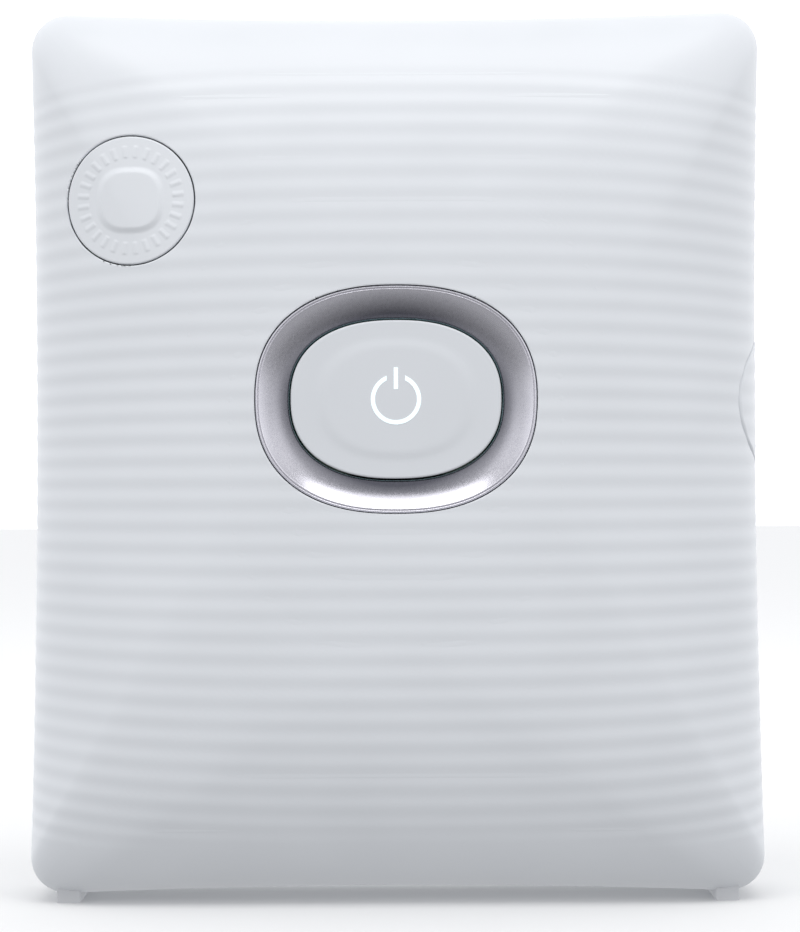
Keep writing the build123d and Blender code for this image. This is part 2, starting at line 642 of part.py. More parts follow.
LED_COUNT = 10
LED_RING_A, LED_RING_B = 16.2, 12.8
LED_HALF_X, LED_HALF_Z = 0.8, 0.4
LED_Y = (BOARD_FRONT_Y - 0.7, BOARD_FRONT_Y)
with BuildPart() as ring_leds:
    for index in range(LED_COUNT):
        angle = 2 * pi * (index + 0.5) / LED_COUNT
        x = LED_RING_A * cos(angle)
        z = DIAL_Z + LED_RING_B * sin(angle)
        block((x - LED_HALF_X, x + LED_HALF_X), LED_Y, (z - LED_HALF_Z, z + LED_HALF_Z))
save(ring_leds.part, "ring_leds")

BOARD_SCREW_TIP_Y = -7.6
gather([screw(x, z, BOARD_FRONT_Y, BOARD_SCREW_TIP_Y, False) for x, z in BOARD_SCREWS], "board_screws")

# ---------------------------------------------------------------- battery
BATTERY_X = 28.0
BATTERY_Y = (-12.6, -6.6)
BATTERY_Z = (12.0, 52.0)
STRAP_Z = (26.0, 38.0)
with BuildPart() as battery:
    block((-BATTERY_X, BATTERY_X), BATTERY_Y, BATTERY_Z)
    fillet(battery.edges().filter_by(Axis.Z), 2.0)
save(battery.part, "battery")

STRAP_Y = (-13.4, -12.7)
STRAP_X = (28.3, 29.5)
STRAP_FOOT_X = 35.0
STRAP_FOOT_Y = CHASSIS_FRONT_Y - 0.9
BRACKET_SCREW_TIP_Y = -4.5
with BuildPart() as battery_bracket:
    block((-STRAP_X[1], STRAP_X[1]), STRAP_Y, STRAP_Z)
    for side in (-1, 1):
        block(sorted((side * STRAP_X[0], side * STRAP_X[1])), (STRAP_Y[0], CHASSIS_FRONT_Y), STRAP_Z)
        block(sorted((side * STRAP_X[0], side * STRAP_FOOT_X)), (STRAP_FOOT_Y, CHASSIS_FRONT_Y), STRAP_Z)
    for x, z in BRACKET_SCREWS:
        rod_y(x, (STRAP_FOOT_Y, CHASSIS_FRONT_Y), z, PILOT_R + HEAD_CLEAR, mode=Mode.SUBTRACT)
save(battery_bracket.part, "battery_bracket")
gather([screw(x, z, STRAP_FOOT_Y, BRACKET_SCREW_TIP_Y, False) for x, z in BRACKET_SCREWS], "bracket_screws")

# ---------------------------------------------------------------- charging port and reset key
USB_X = (-47.3, -42.2)
USB_SHELL = 0.3
USB_FLOOR = 1.0
TONGUE_HALF_Y, TONGUE_HALF_Z = 0.35, 3.3
TONGUE_SETBACK = 0.8
USB_BOARD_X = (-45.4, -42.2)
USB_BOARD_Z = (12.5, 34.0)
RESET_X = (-47.6, -43.7)
RESET_TRAVEL = 0.3
RESET_FLANGE_X = (RESET_X[1] - 1.2, RESET_X[1] - 0.4)
RESET_FLANGE_R = 1.5
SWITCH_X = (RESET_X[1] + RESET_TRAVEL + 0.1, -42.2)
SWITCH_FRONT_Y = USB_Y - 1.2
SWITCH_HALF_Z = 2.0
with BuildPart() as usb_board:
    block(USB_BOARD_X, USB_BOARD_Y, USB_BOARD_Z)
save(usb_board.part, "usb_board")

with BuildPart() as usb_c_receptacle:
    with BuildSketch(side_plane(USB_X[0])):
        with Locations((USB_Y, USB_Z)):
            SlotOverall(2 * USB_HALF_Z, 2 * USB_HALF_Y, rotation=90)
            inner_z, inner_y = USB_HALF_Z - USB_SHELL, USB_HALF_Y - USB_SHELL
            SlotOverall(2 * inner_z, 2 * inner_y, rotation=90, mode=Mode.SUBTRACT)
    extrude(amount=USB_X[1] - USB_X[0])
    with BuildSketch(side_plane(USB_X[1] - USB_FLOOR)):
        with Locations((USB_Y, USB_Z)):
            SlotOverall(2 * USB_HALF_Z, 2 * USB_HALF_Y, rotation=90)
    extrude(amount=USB_FLOOR)
    tongue_y = (USB_Y - TONGUE_HALF_Y, USB_Y + TONGUE_HALF_Y)
    block((USB_X[0] + TONGUE_SETBACK, USB_X[1]), tongue_y, (USB_Z - TONGUE_HALF_Z, USB_Z + TONGUE_HALF_Z))
save(usb_c_receptacle.part, "usb_c_receptacle")

with BuildPart() as reset_button:
    rod_x(RESET_X, USB_Y, RESET_Z, RESET_R)
    rod_x(RESET_FLANGE_X, USB_Y, RESET_Z, RESET_FLANGE_R)
save(reset_button.part, "reset_button")

with BuildPart() as reset_switch:
    block(SWITCH_X, (SWITCH_FRONT_Y, USB_BOARD_Y[0]), (RESET_Z - SWITCH_HALF_Z, RESET_Z + SWITCH_HALF_Z))
save(reset_switch.part, "reset_switch")

# ---------------------------------------------------------------- chassis with the film chamber
CLAW_PLATE_X = (-41.6, -40.8)
CLAW_Y = (-3.0, 2.0)
CLAW_Z = (10.6, 95.0)
CLAW_TIP_Z = (10.6, 12.0)
CLAW_TRAVEL = 6.0
GUIDE_POSTS_Z = (47.0, 78.0)
CAM_Z = ROLLER_Z - sqrt(((CAM_TEETH + PINION_TEETH) * MODULE / 2) ** 2 - (CAM_Y - DRIVE_Y) ** 2)
HEAD_SLOT_Z = (99.9, CHASSIS_TOP_Z)
CHAMBER_SPAN_X = (-CHAMBER_X, CHAMBER_X)
FILM_EXIT_Y = (CHAMBER_Y[0], -1.6)
MOTOR_CLEAR_Y = 6.0  # the chassis is open behind this depth, above the chamber and beside the latch
LATCH_CUT_X = (35.0, 45.0)
LATCH_CUT_Z = (59.0, 74.0)
CLAW_CUT_X = (-45.0, -CHAMBER_X + 0.1)
CLAW_CUT_Y = (-4.0, -2.0)
CLAW_CUT_Z = (CLAW_TIP_Z[0] - GAP, CLAW_TIP_Z[1] + CLAW_TRAVEL + GAP)
EAR_HALF_Z = 2.4
EAR_ROOT_X = CHASSIS_SIDE_X - 0.5
EAR_TIP_X = 45.9
POST_R = 1.0
POST_END_X = -44.6
CAM_POST_R = 1.2

with BuildPart() as chassis:
    shell_y = (CHASSIS_FRONT_Y, CHAMBER_Y[1])
    block((-CHASSIS_SIDE_X, CHASSIS_SIDE_X), shell_y, (CHAMBER_Z[0] - CHASSIS_WALL, CHASSIS_TOP_Z))
    block(CHAMBER_SPAN_X, (CHAMBER_Y[0], FAR), CHAMBER_Z, mode=Mode.SUBTRACT)
    block(CHAMBER_SPAN_X, FILM_EXIT_Y, (CHAMBER_Z[1] - 0.5, FAR), mode=Mode.SUBTRACT)
    block(THROUGH, (MOTOR_CLEAR_Y, FAR), (CHAMBER_Z[1] + CHASSIS_WALL, FAR), mode=Mode.SUBTRACT)
    head_slot_y = (-FAR, CHAMBER_Y[0] + 0.1)
    block((-ROLLER_HALF_LENGTH, ROLLER_HALF_LENGTH), head_slot_y, HEAD_SLOT_Z, mode=Mode.SUBTRACT)
    block(LATCH_CUT_X, (MOTOR_CLEAR_Y, FAR), LATCH_CUT_Z, mode=Mode.SUBTRACT)
    block(CLAW_CUT_X, CLAW_CUT_Y, CLAW_CUT_Z, mode=Mode.SUBTRACT)
    for x, z in CHASSIS_SCREWS:
        outward = 1 if x > 0 else -1
        block(sorted((outward * EAR_ROOT_X, outward * EAR_TIP_X)), EAR_Y, (z - EAR_HALF_Z, z + EAR_HALF_Z))
        rod_y(x, EAR_Y, z, PILOT_R + HEAD_CLEAR, mode=Mode.SUBTRACT)
    for x, z in BOARD_SCREWS:
        rod_y(x, (BOARD_BACK_Y, CHASSIS_FRONT_Y), z, BOSS_R)
        rod_y(x, (BOARD_BACK_Y, CHASSIS_FRONT_Y - 0.4), z, PILOT_R, mode=Mode.SUBTRACT)
    for x, z in BRACKET_SCREWS:
        rod_y(x, (CHASSIS_FRONT_Y, BRACKET_SCREW_TIP_Y + 0.1), z, PILOT_R, mode=Mode.SUBTRACT)
    for z in GUIDE_POSTS_Z:
        rod_x((POST_END_X, -CHASSIS_SIDE_X), middle(CLAW_Y), z, POST_R)
    rod_x((CAM_GEARS_X[0] - 0.4, -CHASSIS_SIDE_X), CAM_Y, CAM_Z, CAM_POST_R)
    add(LINER, mode=Mode.INTERSECT)
save(chassis.part, "chassis")
gather([screw(x, z, EAR_Y[1], CHASSIS_SCREW_TIP_Y, True) for x, z in CHASSIS_SCREWS], "chassis_screws")

# ---------------------------------------------------------------- print head
HEAD_X = 38.0
HEAD_Y = (-9.9, CHASSIS_FRONT_Y - 0.1)
HEAD_Z = (94.0, 101.5)
LENS_X = (-36.2, 36.2)
LENS_BACK_Y = HEAD_Y[1] - 1.0
LENS_FRONT_Y = FILM_Y - 0.7
LENS_Z = (100.0, 101.2)
HEAD_CHAMFER = 0.8
FLEX_X = (-10.0, 10.0)
FLEX_Y = (-9.2, -9.0)
FLEX_END_Z = 82.5
with BuildPart() as print_head_body:
    block((-HEAD_X, HEAD_X), HEAD_Y, HEAD_Z)
    block(LENS_X, (LENS_BACK_Y, HEAD_Y[1]), LENS_Z, mode=Mode.SUBTRACT)
    chamfer(print_head_body.edges().filter_by(Axis.X).sort_by(Axis.Y)[0:2], HEAD_CHAMFER)
save(print_head_body.part, "print_head_body")

with BuildPart() as print_head_lens:
    block(LENS_X, (LENS_BACK_Y, LENS_FRONT_Y), LENS_Z)
save(print_head_lens.part, "print_head_lens")

with BuildPart() as print_head_flex:
    block(FLEX_X, FLEX_Y, (FLEX_END_Z, HEAD_Z[0]))
save(print_head_flex.part, "print_head_flex")

# ---------------------------------------------------------------- roller frame, rollers and bearings
COMPOUND_LINK = (PINION_TEETH + LARGE_TEETH) * MODULE / 2
ROLLER_LINK = (SMALL_TEETH + ROLLER_TEETH) * MODULE / 2
REACH = sqrt((MOTOR_Y - DRIVE_Y) ** 2 + (MOTOR_Z - ROLLER_Z) ** 2)
ALONG = (COMPOUND_LINK**2 - ROLLER_LINK**2 + REACH**2) / (2 * REACH)
ASIDE = sqrt(COMPOUND_LINK**2 - ALONG**2)
TOWARD_Y = (DRIVE_Y - MOTOR_Y) / REACH
TOWARD_Z = (ROLLER_Z - MOTOR_Z) / REACH
COMPOUND_Y = MOTOR_Y + ALONG * TOWARD_Y - ASIDE * TOWARD_Z
COMPOUND_Z = MOTOR_Z + ALONG * TOWARD_Z + ASIDE * TOWARD_Y

BEARING_R = 2.5
FRAME_Y = (-11.0, 13.5)
FRAME_CORNER = 3.0
BRIDGE_Y = (-7.5, -5.5)
BRIDGE_THICK = 1.0
AXLE_R = 1.0
MOTOR_NOSE_R = 2.4
with BuildPart() as roller_frame:
    for side in (-1, 1):
        plate = sorted((side * PLATE_X[0], side * PLATE_X[1]))
        with BuildSketch(side_plane(plate[0])):
            with Locations((middle(FRAME_Y), middle((CHASSIS_TOP_Z, FRAME_TOP_Z)))):
                RectangleRounded(FRAME_Y[1] - FRAME_Y[0], FRAME_TOP_Z - CHASSIS_TOP_Z, FRAME_CORNER)
            with Locations((DRIVE_Y, ROLLER_Z), (PINCH_Y, ROLLER_Z)):
                Circle(BEARING_R, mode=Mode.SUBTRACT)
        extrude(amount=plate[1] - plate[0])
    block((-PLATE_X[1], PLATE_X[1]), BRIDGE_Y, (FRAME_TOP_Z - BRIDGE_THICK, FRAME_TOP_Z))
    rod_x(PLATE_X, MOTOR_Y, MOTOR_Z, MOTOR_NOSE_R, mode=Mode.SUBTRACT)
    rod_x(PLATE_X, COMPOUND_Y, COMPOUND_Z, AXLE_R, mode=Mode.SUBTRACT)
save(roller_frame.part, "roller_frame")

with BuildPart() as roller_bearings:
    for side in (-1, 1):
        bush = sorted((side * (PLATE_X[0] - 0.2), side * (PLATE_X[1] + 0.2)))
        for y in (DRIVE_Y, PINCH_Y):
            rod_x(bush, y, ROLLER_Z, BEARING_R)
            rod_x(bush, y, ROLLER_Z, SHAFT_R + FIT, mode=Mode.SUBTRACT)
save(roller_bearings.part, "roller_bearings")


def roller(y, name):
    """Rubber sleeve of one film roller."""
    with BuildPart() as sleeve:
        rod_x((-ROLLER_HALF_LENGTH, ROLLER_HALF_LENGTH), y, ROLLER_Z, ROLLER_R)
        rod_x((-ROLLER_HALF_LENGTH, ROLLER_HALF_LENGTH), y, ROLLER_Z, SHAFT_R, mode=Mode.SUBTRACT)
    save(sleeve.part, name)


roller(DRIVE_Y, "drive_roller")
roller(PINCH_Y, "pinch_roller")

with BuildPart() as drive_shaft:
    rod_x((CAM_GEARS_X[0], INNER_GEARS_X[1]), DRIVE_Y, ROLLER_Z, SHAFT_R)
save(drive_shaft.part, "drive_shaft")

with BuildPart() as pinch_shaft:
    rod_x((-PLATE_X[1] - 0.8, INNER_GEARS_X[1]), PINCH_Y, ROLLER_Z, SHAFT_R)
save(pinch_shaft.part, "pinch_shaft")

# ---------------------------------------------------------------- gear train
PINCH_TURN = meshing_turn(ROLLER_TEETH, DRIVE_Y, ROLLER_Z, ROLLER_TEETH, 0, PINCH_Y, ROLLER_Z)
SMALL_TURN = meshing_turn(SMALL_TEETH, DRIVE_Y, ROLLER_Z, ROLLER_TEETH, 0, COMPOUND_Y, COMPOUND_Z)
MOTOR_TURN = meshing_turn(PINION_TEETH, COMPOUND_Y, COMPOUND_Z, LARGE_TEETH, SMALL_TURN, MOTOR_Y, MOTOR_Z)
CAM_TURN = meshing_turn(CAM_TEETH, DRIVE_Y, ROLLER_Z, PINION_TEETH, 0, CAM_Y, CAM_Z)
MOTOR_SHAFT_R = 0.75
HUB_R = 1.9
AXLE_END = 0.4
CAM_LIFT = 2.4
CAM_BASE_R = 2.4
CAM_TIP_R = 1.4
CAM_THICK = 0.9

save(gear_solid(ROLLER_TEETH, INNER_GEARS_X, DRIVE_Y, ROLLER_Z, SHAFT_R), "drive_gear")
save(gear_solid(ROLLER_TEETH, INNER_GEARS_X, PINCH_Y, ROLLER_Z, SHAFT_R, PINCH_TURN), "pinch_gear")
save(gear_solid(PINION_TEETH, OUTER_GEARS_X, MOTOR_Y, MOTOR_Z, MOTOR_SHAFT_R, MOTOR_TURN), "motor_pinion")
save(gear_solid(PINION_TEETH, CAM_GEARS_X, DRIVE_Y, ROLLER_Z, SHAFT_R), "cam_pinion")

with BuildPart() as compound_gear:
    add(gear_solid(SMALL_TEETH, INNER_GEARS_X, COMPOUND_Y, COMPOUND_Z, AXLE_R + FIT, SMALL_TURN))
    add(gear_solid(LARGE_TEETH, OUTER_GEARS_X, COMPOUND_Y, COMPOUND_Z, AXLE_R + FIT, SMALL_TURN))
    rod_x((INNER_GEARS_X[1], OUTER_GEARS_X[0]), COMPOUND_Y, COMPOUND_Z, HUB_R)
    rod_x((INNER_GEARS_X[0], OUTER_GEARS_X[1]), COMPOUND_Y, COMPOUND_Z, AXLE_R + FIT, mode=Mode.SUBTRACT)
save(compound_gear.part, "compound_gear")

with BuildPart() as gear_axle:
    rod_x((PLATE_X[0], OUTER_GEARS_X[1] + AXLE_END), COMPOUND_Y, COMPOUND_Z, AXLE_R)
save(gear_axle.part, "gear_axle")

with BuildPart() as cam_gear:
    add(gear_solid(CAM_TEETH, CAM_GEARS_X, CAM_Y, CAM_Z, CAM_POST_R + FIT, CAM_TURN))
    with BuildSketch(side_plane(CAM_GEARS_X[1])):
        with Locations((CAM_Y, CAM_Z)):
            Circle(CAM_BASE_R)
        with Locations((CAM_Y, CAM_Z + CAM_LIFT)):
            Circle(CAM_TIP_R)
        make_hull()
        with Locations((CAM_Y, CAM_Z)):
            Circle(CAM_POST_R + FIT, mode=Mode.SUBTRACT)
    extrude(amount=CAM_THICK)
save(cam_gear.part, "cam_gear")

MOTOR_CAN_X = (15.0, PLATE_X[0])
MOTOR_TAIL_X = (12.6, MOTOR_CAN_X[0])
MOTOR_TAIL_R = 2.2
MOTOR_NECK_X = (PLATE_X[1], OUTER_GEARS_X[0] - 0.4)
MOTOR_NECK_R = 1.4
MOTOR_SHAFT_X = (MOTOR_TAIL_X[0] + 0.4, OUTER_GEARS_X[1])
with BuildPart() as drive_motor:
    rod_x(MOTOR_CAN_X, MOTOR_Y, MOTOR_Z, MOTOR_R)
    rod_x(PLATE_X, MOTOR_Y, MOTOR_Z, MOTOR_NOSE_R)
    rod_x(MOTOR_TAIL_X, MOTOR_Y, MOTOR_Z, MOTOR_TAIL_R)
    rod_x(MOTOR_NECK_X, MOTOR_Y, MOTOR_Z, MOTOR_NECK_R)
    rod_x((MOTOR_TAIL_X[0], FAR), MOTOR_Y, MOTOR_Z, MOTOR_SHAFT_R + FIT, mode=Mode.SUBTRACT)
save(drive_motor.part, "drive_motor")

with BuildPart() as motor_shaft:
    rod_x(MOTOR_SHAFT_X, MOTOR_Y, MOTOR_Z, MOTOR_SHAFT_R)
save(motor_shaft.part, "motor_shaft")

# ---------------------------------------------------------------- film claw
TAB_X = (-45.0, CLAW_PLATE_X[0])
TAB_Y = (-2.0, 1.0)
TAB_Z = (62.0, 62.8)
CLAW_TIP_X = -38.7
CLAW_ARM_Y = (-3.7, -2.3)
CLAW_ARM_TOP_Z = 16.0
POST_SLOT_HALF = 1.3
POST_SLOT_END = POST_R + 0.4
WIRE = 0.4
SPRING_AXIS_X = -43.3
CLAW_COIL_R = 1.1
CLAW_COIL_PITCH = 1.5
with BuildPart() as film_claw:
    block(CLAW_PLATE_X, CLAW_Y, CLAW_Z)
    block((CLAW_PLATE_X[0], CLAW_TIP_X), CLAW_ARM_Y, CLAW_TIP_Z)
    block(CLAW_PLATE_X, CLAW_ARM_Y, (CLAW_TIP_Z[0], CLAW_ARM_TOP_Z))
    block(TAB_X, TAB_Y, TAB_Z)
    for z in GUIDE_POSTS_Z:
        slot_y = (middle(CLAW_Y) - POST_SLOT_HALF, middle(CLAW_Y) + POST_SLOT_HALF)
        slot_z = (z - CLAW_TRAVEL - POST_SLOT_END, z + POST_SLOT_END)
        block(CLAW_PLATE_X, slot_y, slot_z, mode=Mode.SUBTRACT)
save(film_claw.part, "film_claw")

claw_spring_base = (SPRING_AXIS_X, middle(CLAW_Y), GUIDE_POSTS_Z[0] + POST_SLOT_END)
claw_spring_length = TAB_Z[0] - WIRE - claw_spring_base[2]
save(coil(CLAW_COIL_R, WIRE, CLAW_COIL_PITCH, claw_spring_length, claw_spring_base, (0, 0, 1)), "claw_spring")

# ---------------------------------------------------------------- door latch
LATCH_NECK_R = 4.0
SLIDER_Y = (-6.0, 8.5)
SLIDER_Z = (58.0, 75.0)
ARM_Z = (60.4, 62.4)
HOOK_X = (40.6, 41.3)
HOOK_TOP_Z = 71.0
LATCH_COIL_R = 2.0
LATCH_COIL_PITCH = 1.1
LATCH_COIL_Y = -1.0
COIL_CLEAR = 0.3
with BuildPart() as latch_button:
    rod_x((WALL_X, FAR), LATCH_Y, LATCH_Z, LATCH_R)
    add(OUTER, mode=Mode.INTERSECT)
    add(INNER, mode=Mode.SUBTRACT)
    rod_x((SLIDER_X[1], HALF_WIDTH - WALL + 0.4), LATCH_Y, LATCH_Z, LATCH_NECK_R)
save(latch_button.part, "latch_button")

with BuildPart() as latch_slider:
    block(SLIDER_X, SLIDER_Y, SLIDER_Z)
    block(SLIDER_X, (SLIDER_Y[1], HOOK_Y[1]), ARM_Z)
    block((HOOK_X[0], SLIDER_X[0]), HOOK_Y, ARM_Z)
    block(HOOK_X, HOOK_Y, (ARM_Z[0], HOOK_TOP_Z))
save(latch_slider.part, "latch_slider")

latch_spring_base = (CHASSIS_SIDE_X + COIL_CLEAR, LATCH_COIL_Y, LATCH_Z)
latch_spring_length = SLIDER_X[0] - COIL_CLEAR - latch_spring_base[0]
latch_spring = coil(LATCH_COIL_R, WIRE, LATCH_COIL_PITCH, latch_spring_length, latch_spring_base, (1, 0, 0))
save(latch_spring, "latch_spring")

# ---------------------------------------------------------------- film slot and feet
EXIT_BOTTOM_Z = 113.4
SEAL_Z = (113.6, 115.8)
SEAL_GAP = 0.65  # half the way that the seals leave for the film
with BuildPart() as exit_bezel:
    with BuildSketch(Plane.XY.offset(EXIT_BOTTOM_Z)):
        with Locations((0, FILM_Y)):
            SlotOverall(2 * BEZEL_HALF_X, 2 * BEZEL_HALF_Y)
            Rectangle(2 * SLOT_HALF_X, 2 * SLOT_HALF_Y, mode=Mode.SUBTRACT)
    extrude(amount=HEIGHT - EXIT_BOTTOM_Z)
    add(RECESSED, mode=Mode.INTERSECT)
save(exit_bezel.part, "exit_bezel")

with BuildPart() as light_seals:
    for side in (-1, 1):
        strip = sorted((FILM_Y + side * SEAL_GAP, FILM_Y + side * SLOT_HALF_Y))
        block((-SLOT_HALF_X, SLOT_HALF_X), strip, SEAL_Z)
save(light_seals.part, "light_seals")

FOOT_X = 44.0
FOOT_HALF_WIDTH = 1.5
FOOT_Y = (-8.0, 12.0)
FOOT_TOP_Z = 4.0
with BuildPart() as feet:
    for side in (-1, 1):
        foot_x = (side * FOOT_X - FOOT_HALF_WIDTH, side * FOOT_X + FOOT_HALF_WIDTH)
        block(foot_x, FOOT_Y, (0, FOOT_TOP_Z))
    add(OUTER, mode=Mode.SUBTRACT)
save(feet.part, "feet")
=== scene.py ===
"""Looks of the pocket instant-film printer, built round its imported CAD. Lengths are in metres unless named mm."""

import json
from math import cos, pi, radians, sin

import bpy
import numpy as np
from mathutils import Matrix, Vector
from mathutils.bvhtree import BVHTree


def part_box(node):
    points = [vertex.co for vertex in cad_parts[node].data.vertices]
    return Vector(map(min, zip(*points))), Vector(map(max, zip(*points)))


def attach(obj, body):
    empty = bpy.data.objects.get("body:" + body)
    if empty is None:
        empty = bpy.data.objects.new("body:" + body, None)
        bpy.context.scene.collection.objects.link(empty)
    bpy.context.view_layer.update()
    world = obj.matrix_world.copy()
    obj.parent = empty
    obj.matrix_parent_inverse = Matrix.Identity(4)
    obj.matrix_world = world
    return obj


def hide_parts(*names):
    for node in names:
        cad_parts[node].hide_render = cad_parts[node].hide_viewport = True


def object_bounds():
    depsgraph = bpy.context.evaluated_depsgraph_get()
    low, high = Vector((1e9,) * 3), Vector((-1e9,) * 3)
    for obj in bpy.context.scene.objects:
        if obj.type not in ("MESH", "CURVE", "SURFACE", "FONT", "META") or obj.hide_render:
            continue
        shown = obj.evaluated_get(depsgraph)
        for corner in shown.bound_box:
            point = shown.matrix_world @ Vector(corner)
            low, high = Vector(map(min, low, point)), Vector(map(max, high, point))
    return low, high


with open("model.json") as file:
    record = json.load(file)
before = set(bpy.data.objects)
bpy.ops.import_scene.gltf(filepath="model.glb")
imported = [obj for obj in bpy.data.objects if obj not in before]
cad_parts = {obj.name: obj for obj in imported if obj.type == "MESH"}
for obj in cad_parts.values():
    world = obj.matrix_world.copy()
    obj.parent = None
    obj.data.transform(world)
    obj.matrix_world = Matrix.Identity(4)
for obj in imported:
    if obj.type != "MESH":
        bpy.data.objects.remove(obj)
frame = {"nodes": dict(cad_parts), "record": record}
cad_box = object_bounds()

MM = 0.001

# ---------------------------------------------------------------- the body's form, in mm, as the CAD model has it
HALF_WIDTH = 48.85
HALF_HEIGHT = 59.1
MID_Z = 60.0
FRONT_BULGE, FRONT_POWER = 16.0, 3.5
BACK_BULGE, BACK_POWER = 12.0, 8.0
BAND_FRONT_Y, BAND_BACK_Y = -5.0, 9.0
PARTING_Y = 8.0
CORNER_RADIUS, CORNER_GROWTH = 5.2, 26.0
SIDE_SAG, TOP_SAG, SPREAD = 0.9, 1.1, 0.5
SKIN = 0.05  # how far the finished surface lies outside the CAD surface

RIB_PITCH = 2.9
RIB_HEIGHT = 0.068
RIB_LEVEL = 55.2  # height of the rib that runs straight across
RIB_CONVERGE = 0.07  # how much closer the ribs lie at the sides
RIB_FADE_TOP, RIB_FADE_BOTTOM = 110.6, 9.6

OVAL_POWER = 2.35
EDGE_R = 0.2  # rounding of every edge of an opening
EDGE_DEPTH = 1.4  # how far each edge is carried into its opening
SNAP = 0.12  # points nearer an opening's outline than this are drawn onto it
OUTSIDE = 200.0  # start of the rays that look for the surface, from the middle


# ---------------------------------------------------------------- shapes of openings, in the plane of a face
def rounded_box(centre, half, radius):
    """Signed distance, nearest edge point and outward direction of a rounded rectangle, for many points."""
    centre, half = np.array(centre), np.array(half)

    def probe(uv):
        away = uv - centre
        side = np.where(away < 0, -1.0, 1.0)
        over = np.abs(away) - (half - radius)
        corner = (over > 0).all(1)
        reach = np.maximum(np.hypot(over[:, 0], over[:, 1]), 1e-9)
        wide = over[:, 0] > over[:, 1]
        flat = np.stack([wide, ~wide], 1).astype(float)
        turn = np.where(corner[:, None], over / reach[:, None], flat)
        distance = np.where(corner, reach, over.max(1)) - radius
        turn = turn * side
        return distance, uv - turn * distance[:, None], turn

    return probe


def oval(centre, half):
    """The same for the squarish ovals round the power button."""
    centre, half = np.array(centre), np.array(half)

    def probe(uv):
        away = uv - centre
        share = (np.abs(away / half) ** OVAL_POWER).sum(1) ** (1 / OVAL_POWER)
        edge = centre + away / np.maximum(share, 1e-6)[:, None]
        slope = np.sign(away) * np.abs(away / half) ** (OVAL_POWER - 1) / half
        turn = slope / np.maximum(np.linalg.norm(slope, axis=1), 1e-9)[:, None]
        return (share - 1) * np.linalg.norm(edge - centre, axis=1), edge, turn

    return probe


def node_centre(node, axes):
    """Middle of a CAD node's box along two axes, in mm."""
    low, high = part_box(node)
    return [(low[a] + high[a]) / 2 / MM for a in axes]


def node_half(node, axes):
    """Half size of a CAD node's box along two axes, in mm."""
    low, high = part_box(node)
    return [(high[a] - low[a]) / 2 / MM for a in axes]


# ---------------------------------------------------------------- the cushion as a grid of points
def section(scale, y, inset, spots):
    """One upright section of the cushion: rounded, slightly hollow on its sides and wider at the bottom."""
    half = np.array([HALF_WIDTH - inset, HALF_HEIGHT - inset]) * scale
    radius = min(CORNER_RADIUS - inset / 2 + CORNER_GROWTH * (1 - scale), 0.93 * half[0])
    at = spots * half
    over = np.abs(at) - (half - radius)
    corner = (over > 0).all(1)
    reach = np.maximum(np.hypot(over[:, 0], over[:, 1]), 1e-9)[:, None]
    rounded = np.sign(at) * (half - radius + over / reach * radius)
    at = np.where(corner[:, None], rounded, at)
    share = at / half
    x = at[:, 0] - share[:, 0] * SIDE_SAG * scale**4 * (1 - share[:, 1] ** 2)
    x += share[:, 0] * (1 - share[:, 1]) / 2 * SPREAD * scale
    z = at[:, 1] - share[:, 1] * TOP_SAG * scale**4 * (1 - share[:, 0] ** 2)
    return np.stack([x, np.full(len(x), y), MID_Z + z], 1)


def perimeter(side_steps, top_steps):
    """Spots round a unit square, denser on its upright sides."""
    up = np.linspace(-1, 1, side_steps, endpoint=False)
    across = np.linspace(-1, 1, top_steps, endpoint=False)
    return np.concatenate([
        np.stack([np.ones(side_steps), up], 1),
        np.stack([-across, np.ones(top_steps)], 1),
        np.stack([-np.ones(side_steps), -up], 1),
        np.stack([across, -np.ones(top_steps)], 1),
    ])


def bulge_levels(start_y, bulge, power, steps, smallest):
    """Scale and depth of sections spread evenly along the bulge's profile, from its small end to its rim."""
    turn = np.linspace(0.0, pi / 2, 4000)
    rise = np.sin(turn)
    scale = np.maximum(1 - rise**2, 0) ** (1 / power)
    length = np.concatenate([[0], np.cumsum(np.hypot(np.diff(rise) * bulge, np.diff(scale) * HALF_HEIGHT))])
    last = length[np.argmax(scale < smallest)]
    even = np.linspace(last, 0, steps)
    scales = np.maximum(np.interp(even, length, scale), 0.0005)
    return list(zip(scales, start_y + np.interp(even, length, rise * bulge)))


def grid(levels, spots, inset=-SKIN):
    """Points and quads of the surface through the given sections."""
    points = np.concatenate([section(scale, y, inset, spots) for scale, y in levels])
    count = len(spots)
    ring = np.arange(count)
    following = (ring + 1) % count
    quads = []
    for level in range(len(levels) - 1):
        here, there = level * count, (level + 1) * count
        quads.append(np.stack([here + ring, here + following, there + following, there + ring], 1))
    return points, np.concatenate(quads)


def vertex_normals(points, quads):
    """Unit normal at each point, averaged over its quads."""
    across = points[quads[:, 2]] - points[quads[:, 0]]
    along = points[quads[:, 3]] - points[quads[:, 1]]
    face = np.cross(across, along)
    normals = np.zeros_like(points)
    for corner in range(4):
        np.add.at(normals, quads[:, corner], face)
    return normals / np.maximum(np.linalg.norm(normals, axis=1), 1e-12)[:, None]


def ribbed_normals(points, normals):
    """Normals of the surface once its ribs stand on it, from the slope of the rib height."""
    step = 0.02
    slope = np.zeros_like(points)
    for axis in (0, 2):
        ahead, behind = points.copy(), points.copy()
        ahead[:, axis] += step
        behind[:, axis] -= step
        slope[:, axis] = (rib_height(ahead) - rib_height(behind)) / (2 * step)
    slope -= normals * (slope * normals).sum(1)[:, None]
    ribbed = normals - slope
    return ribbed / np.linalg.norm(ribbed, axis=1)[:, None]


def smooth_step(low, high, value):
    """0 below low, 1 above high and a smooth curve between; low may be the larger."""
    share = np.clip((value - low) / (high - low), 0, 1)
    return share * share * (3 - 2 * share)


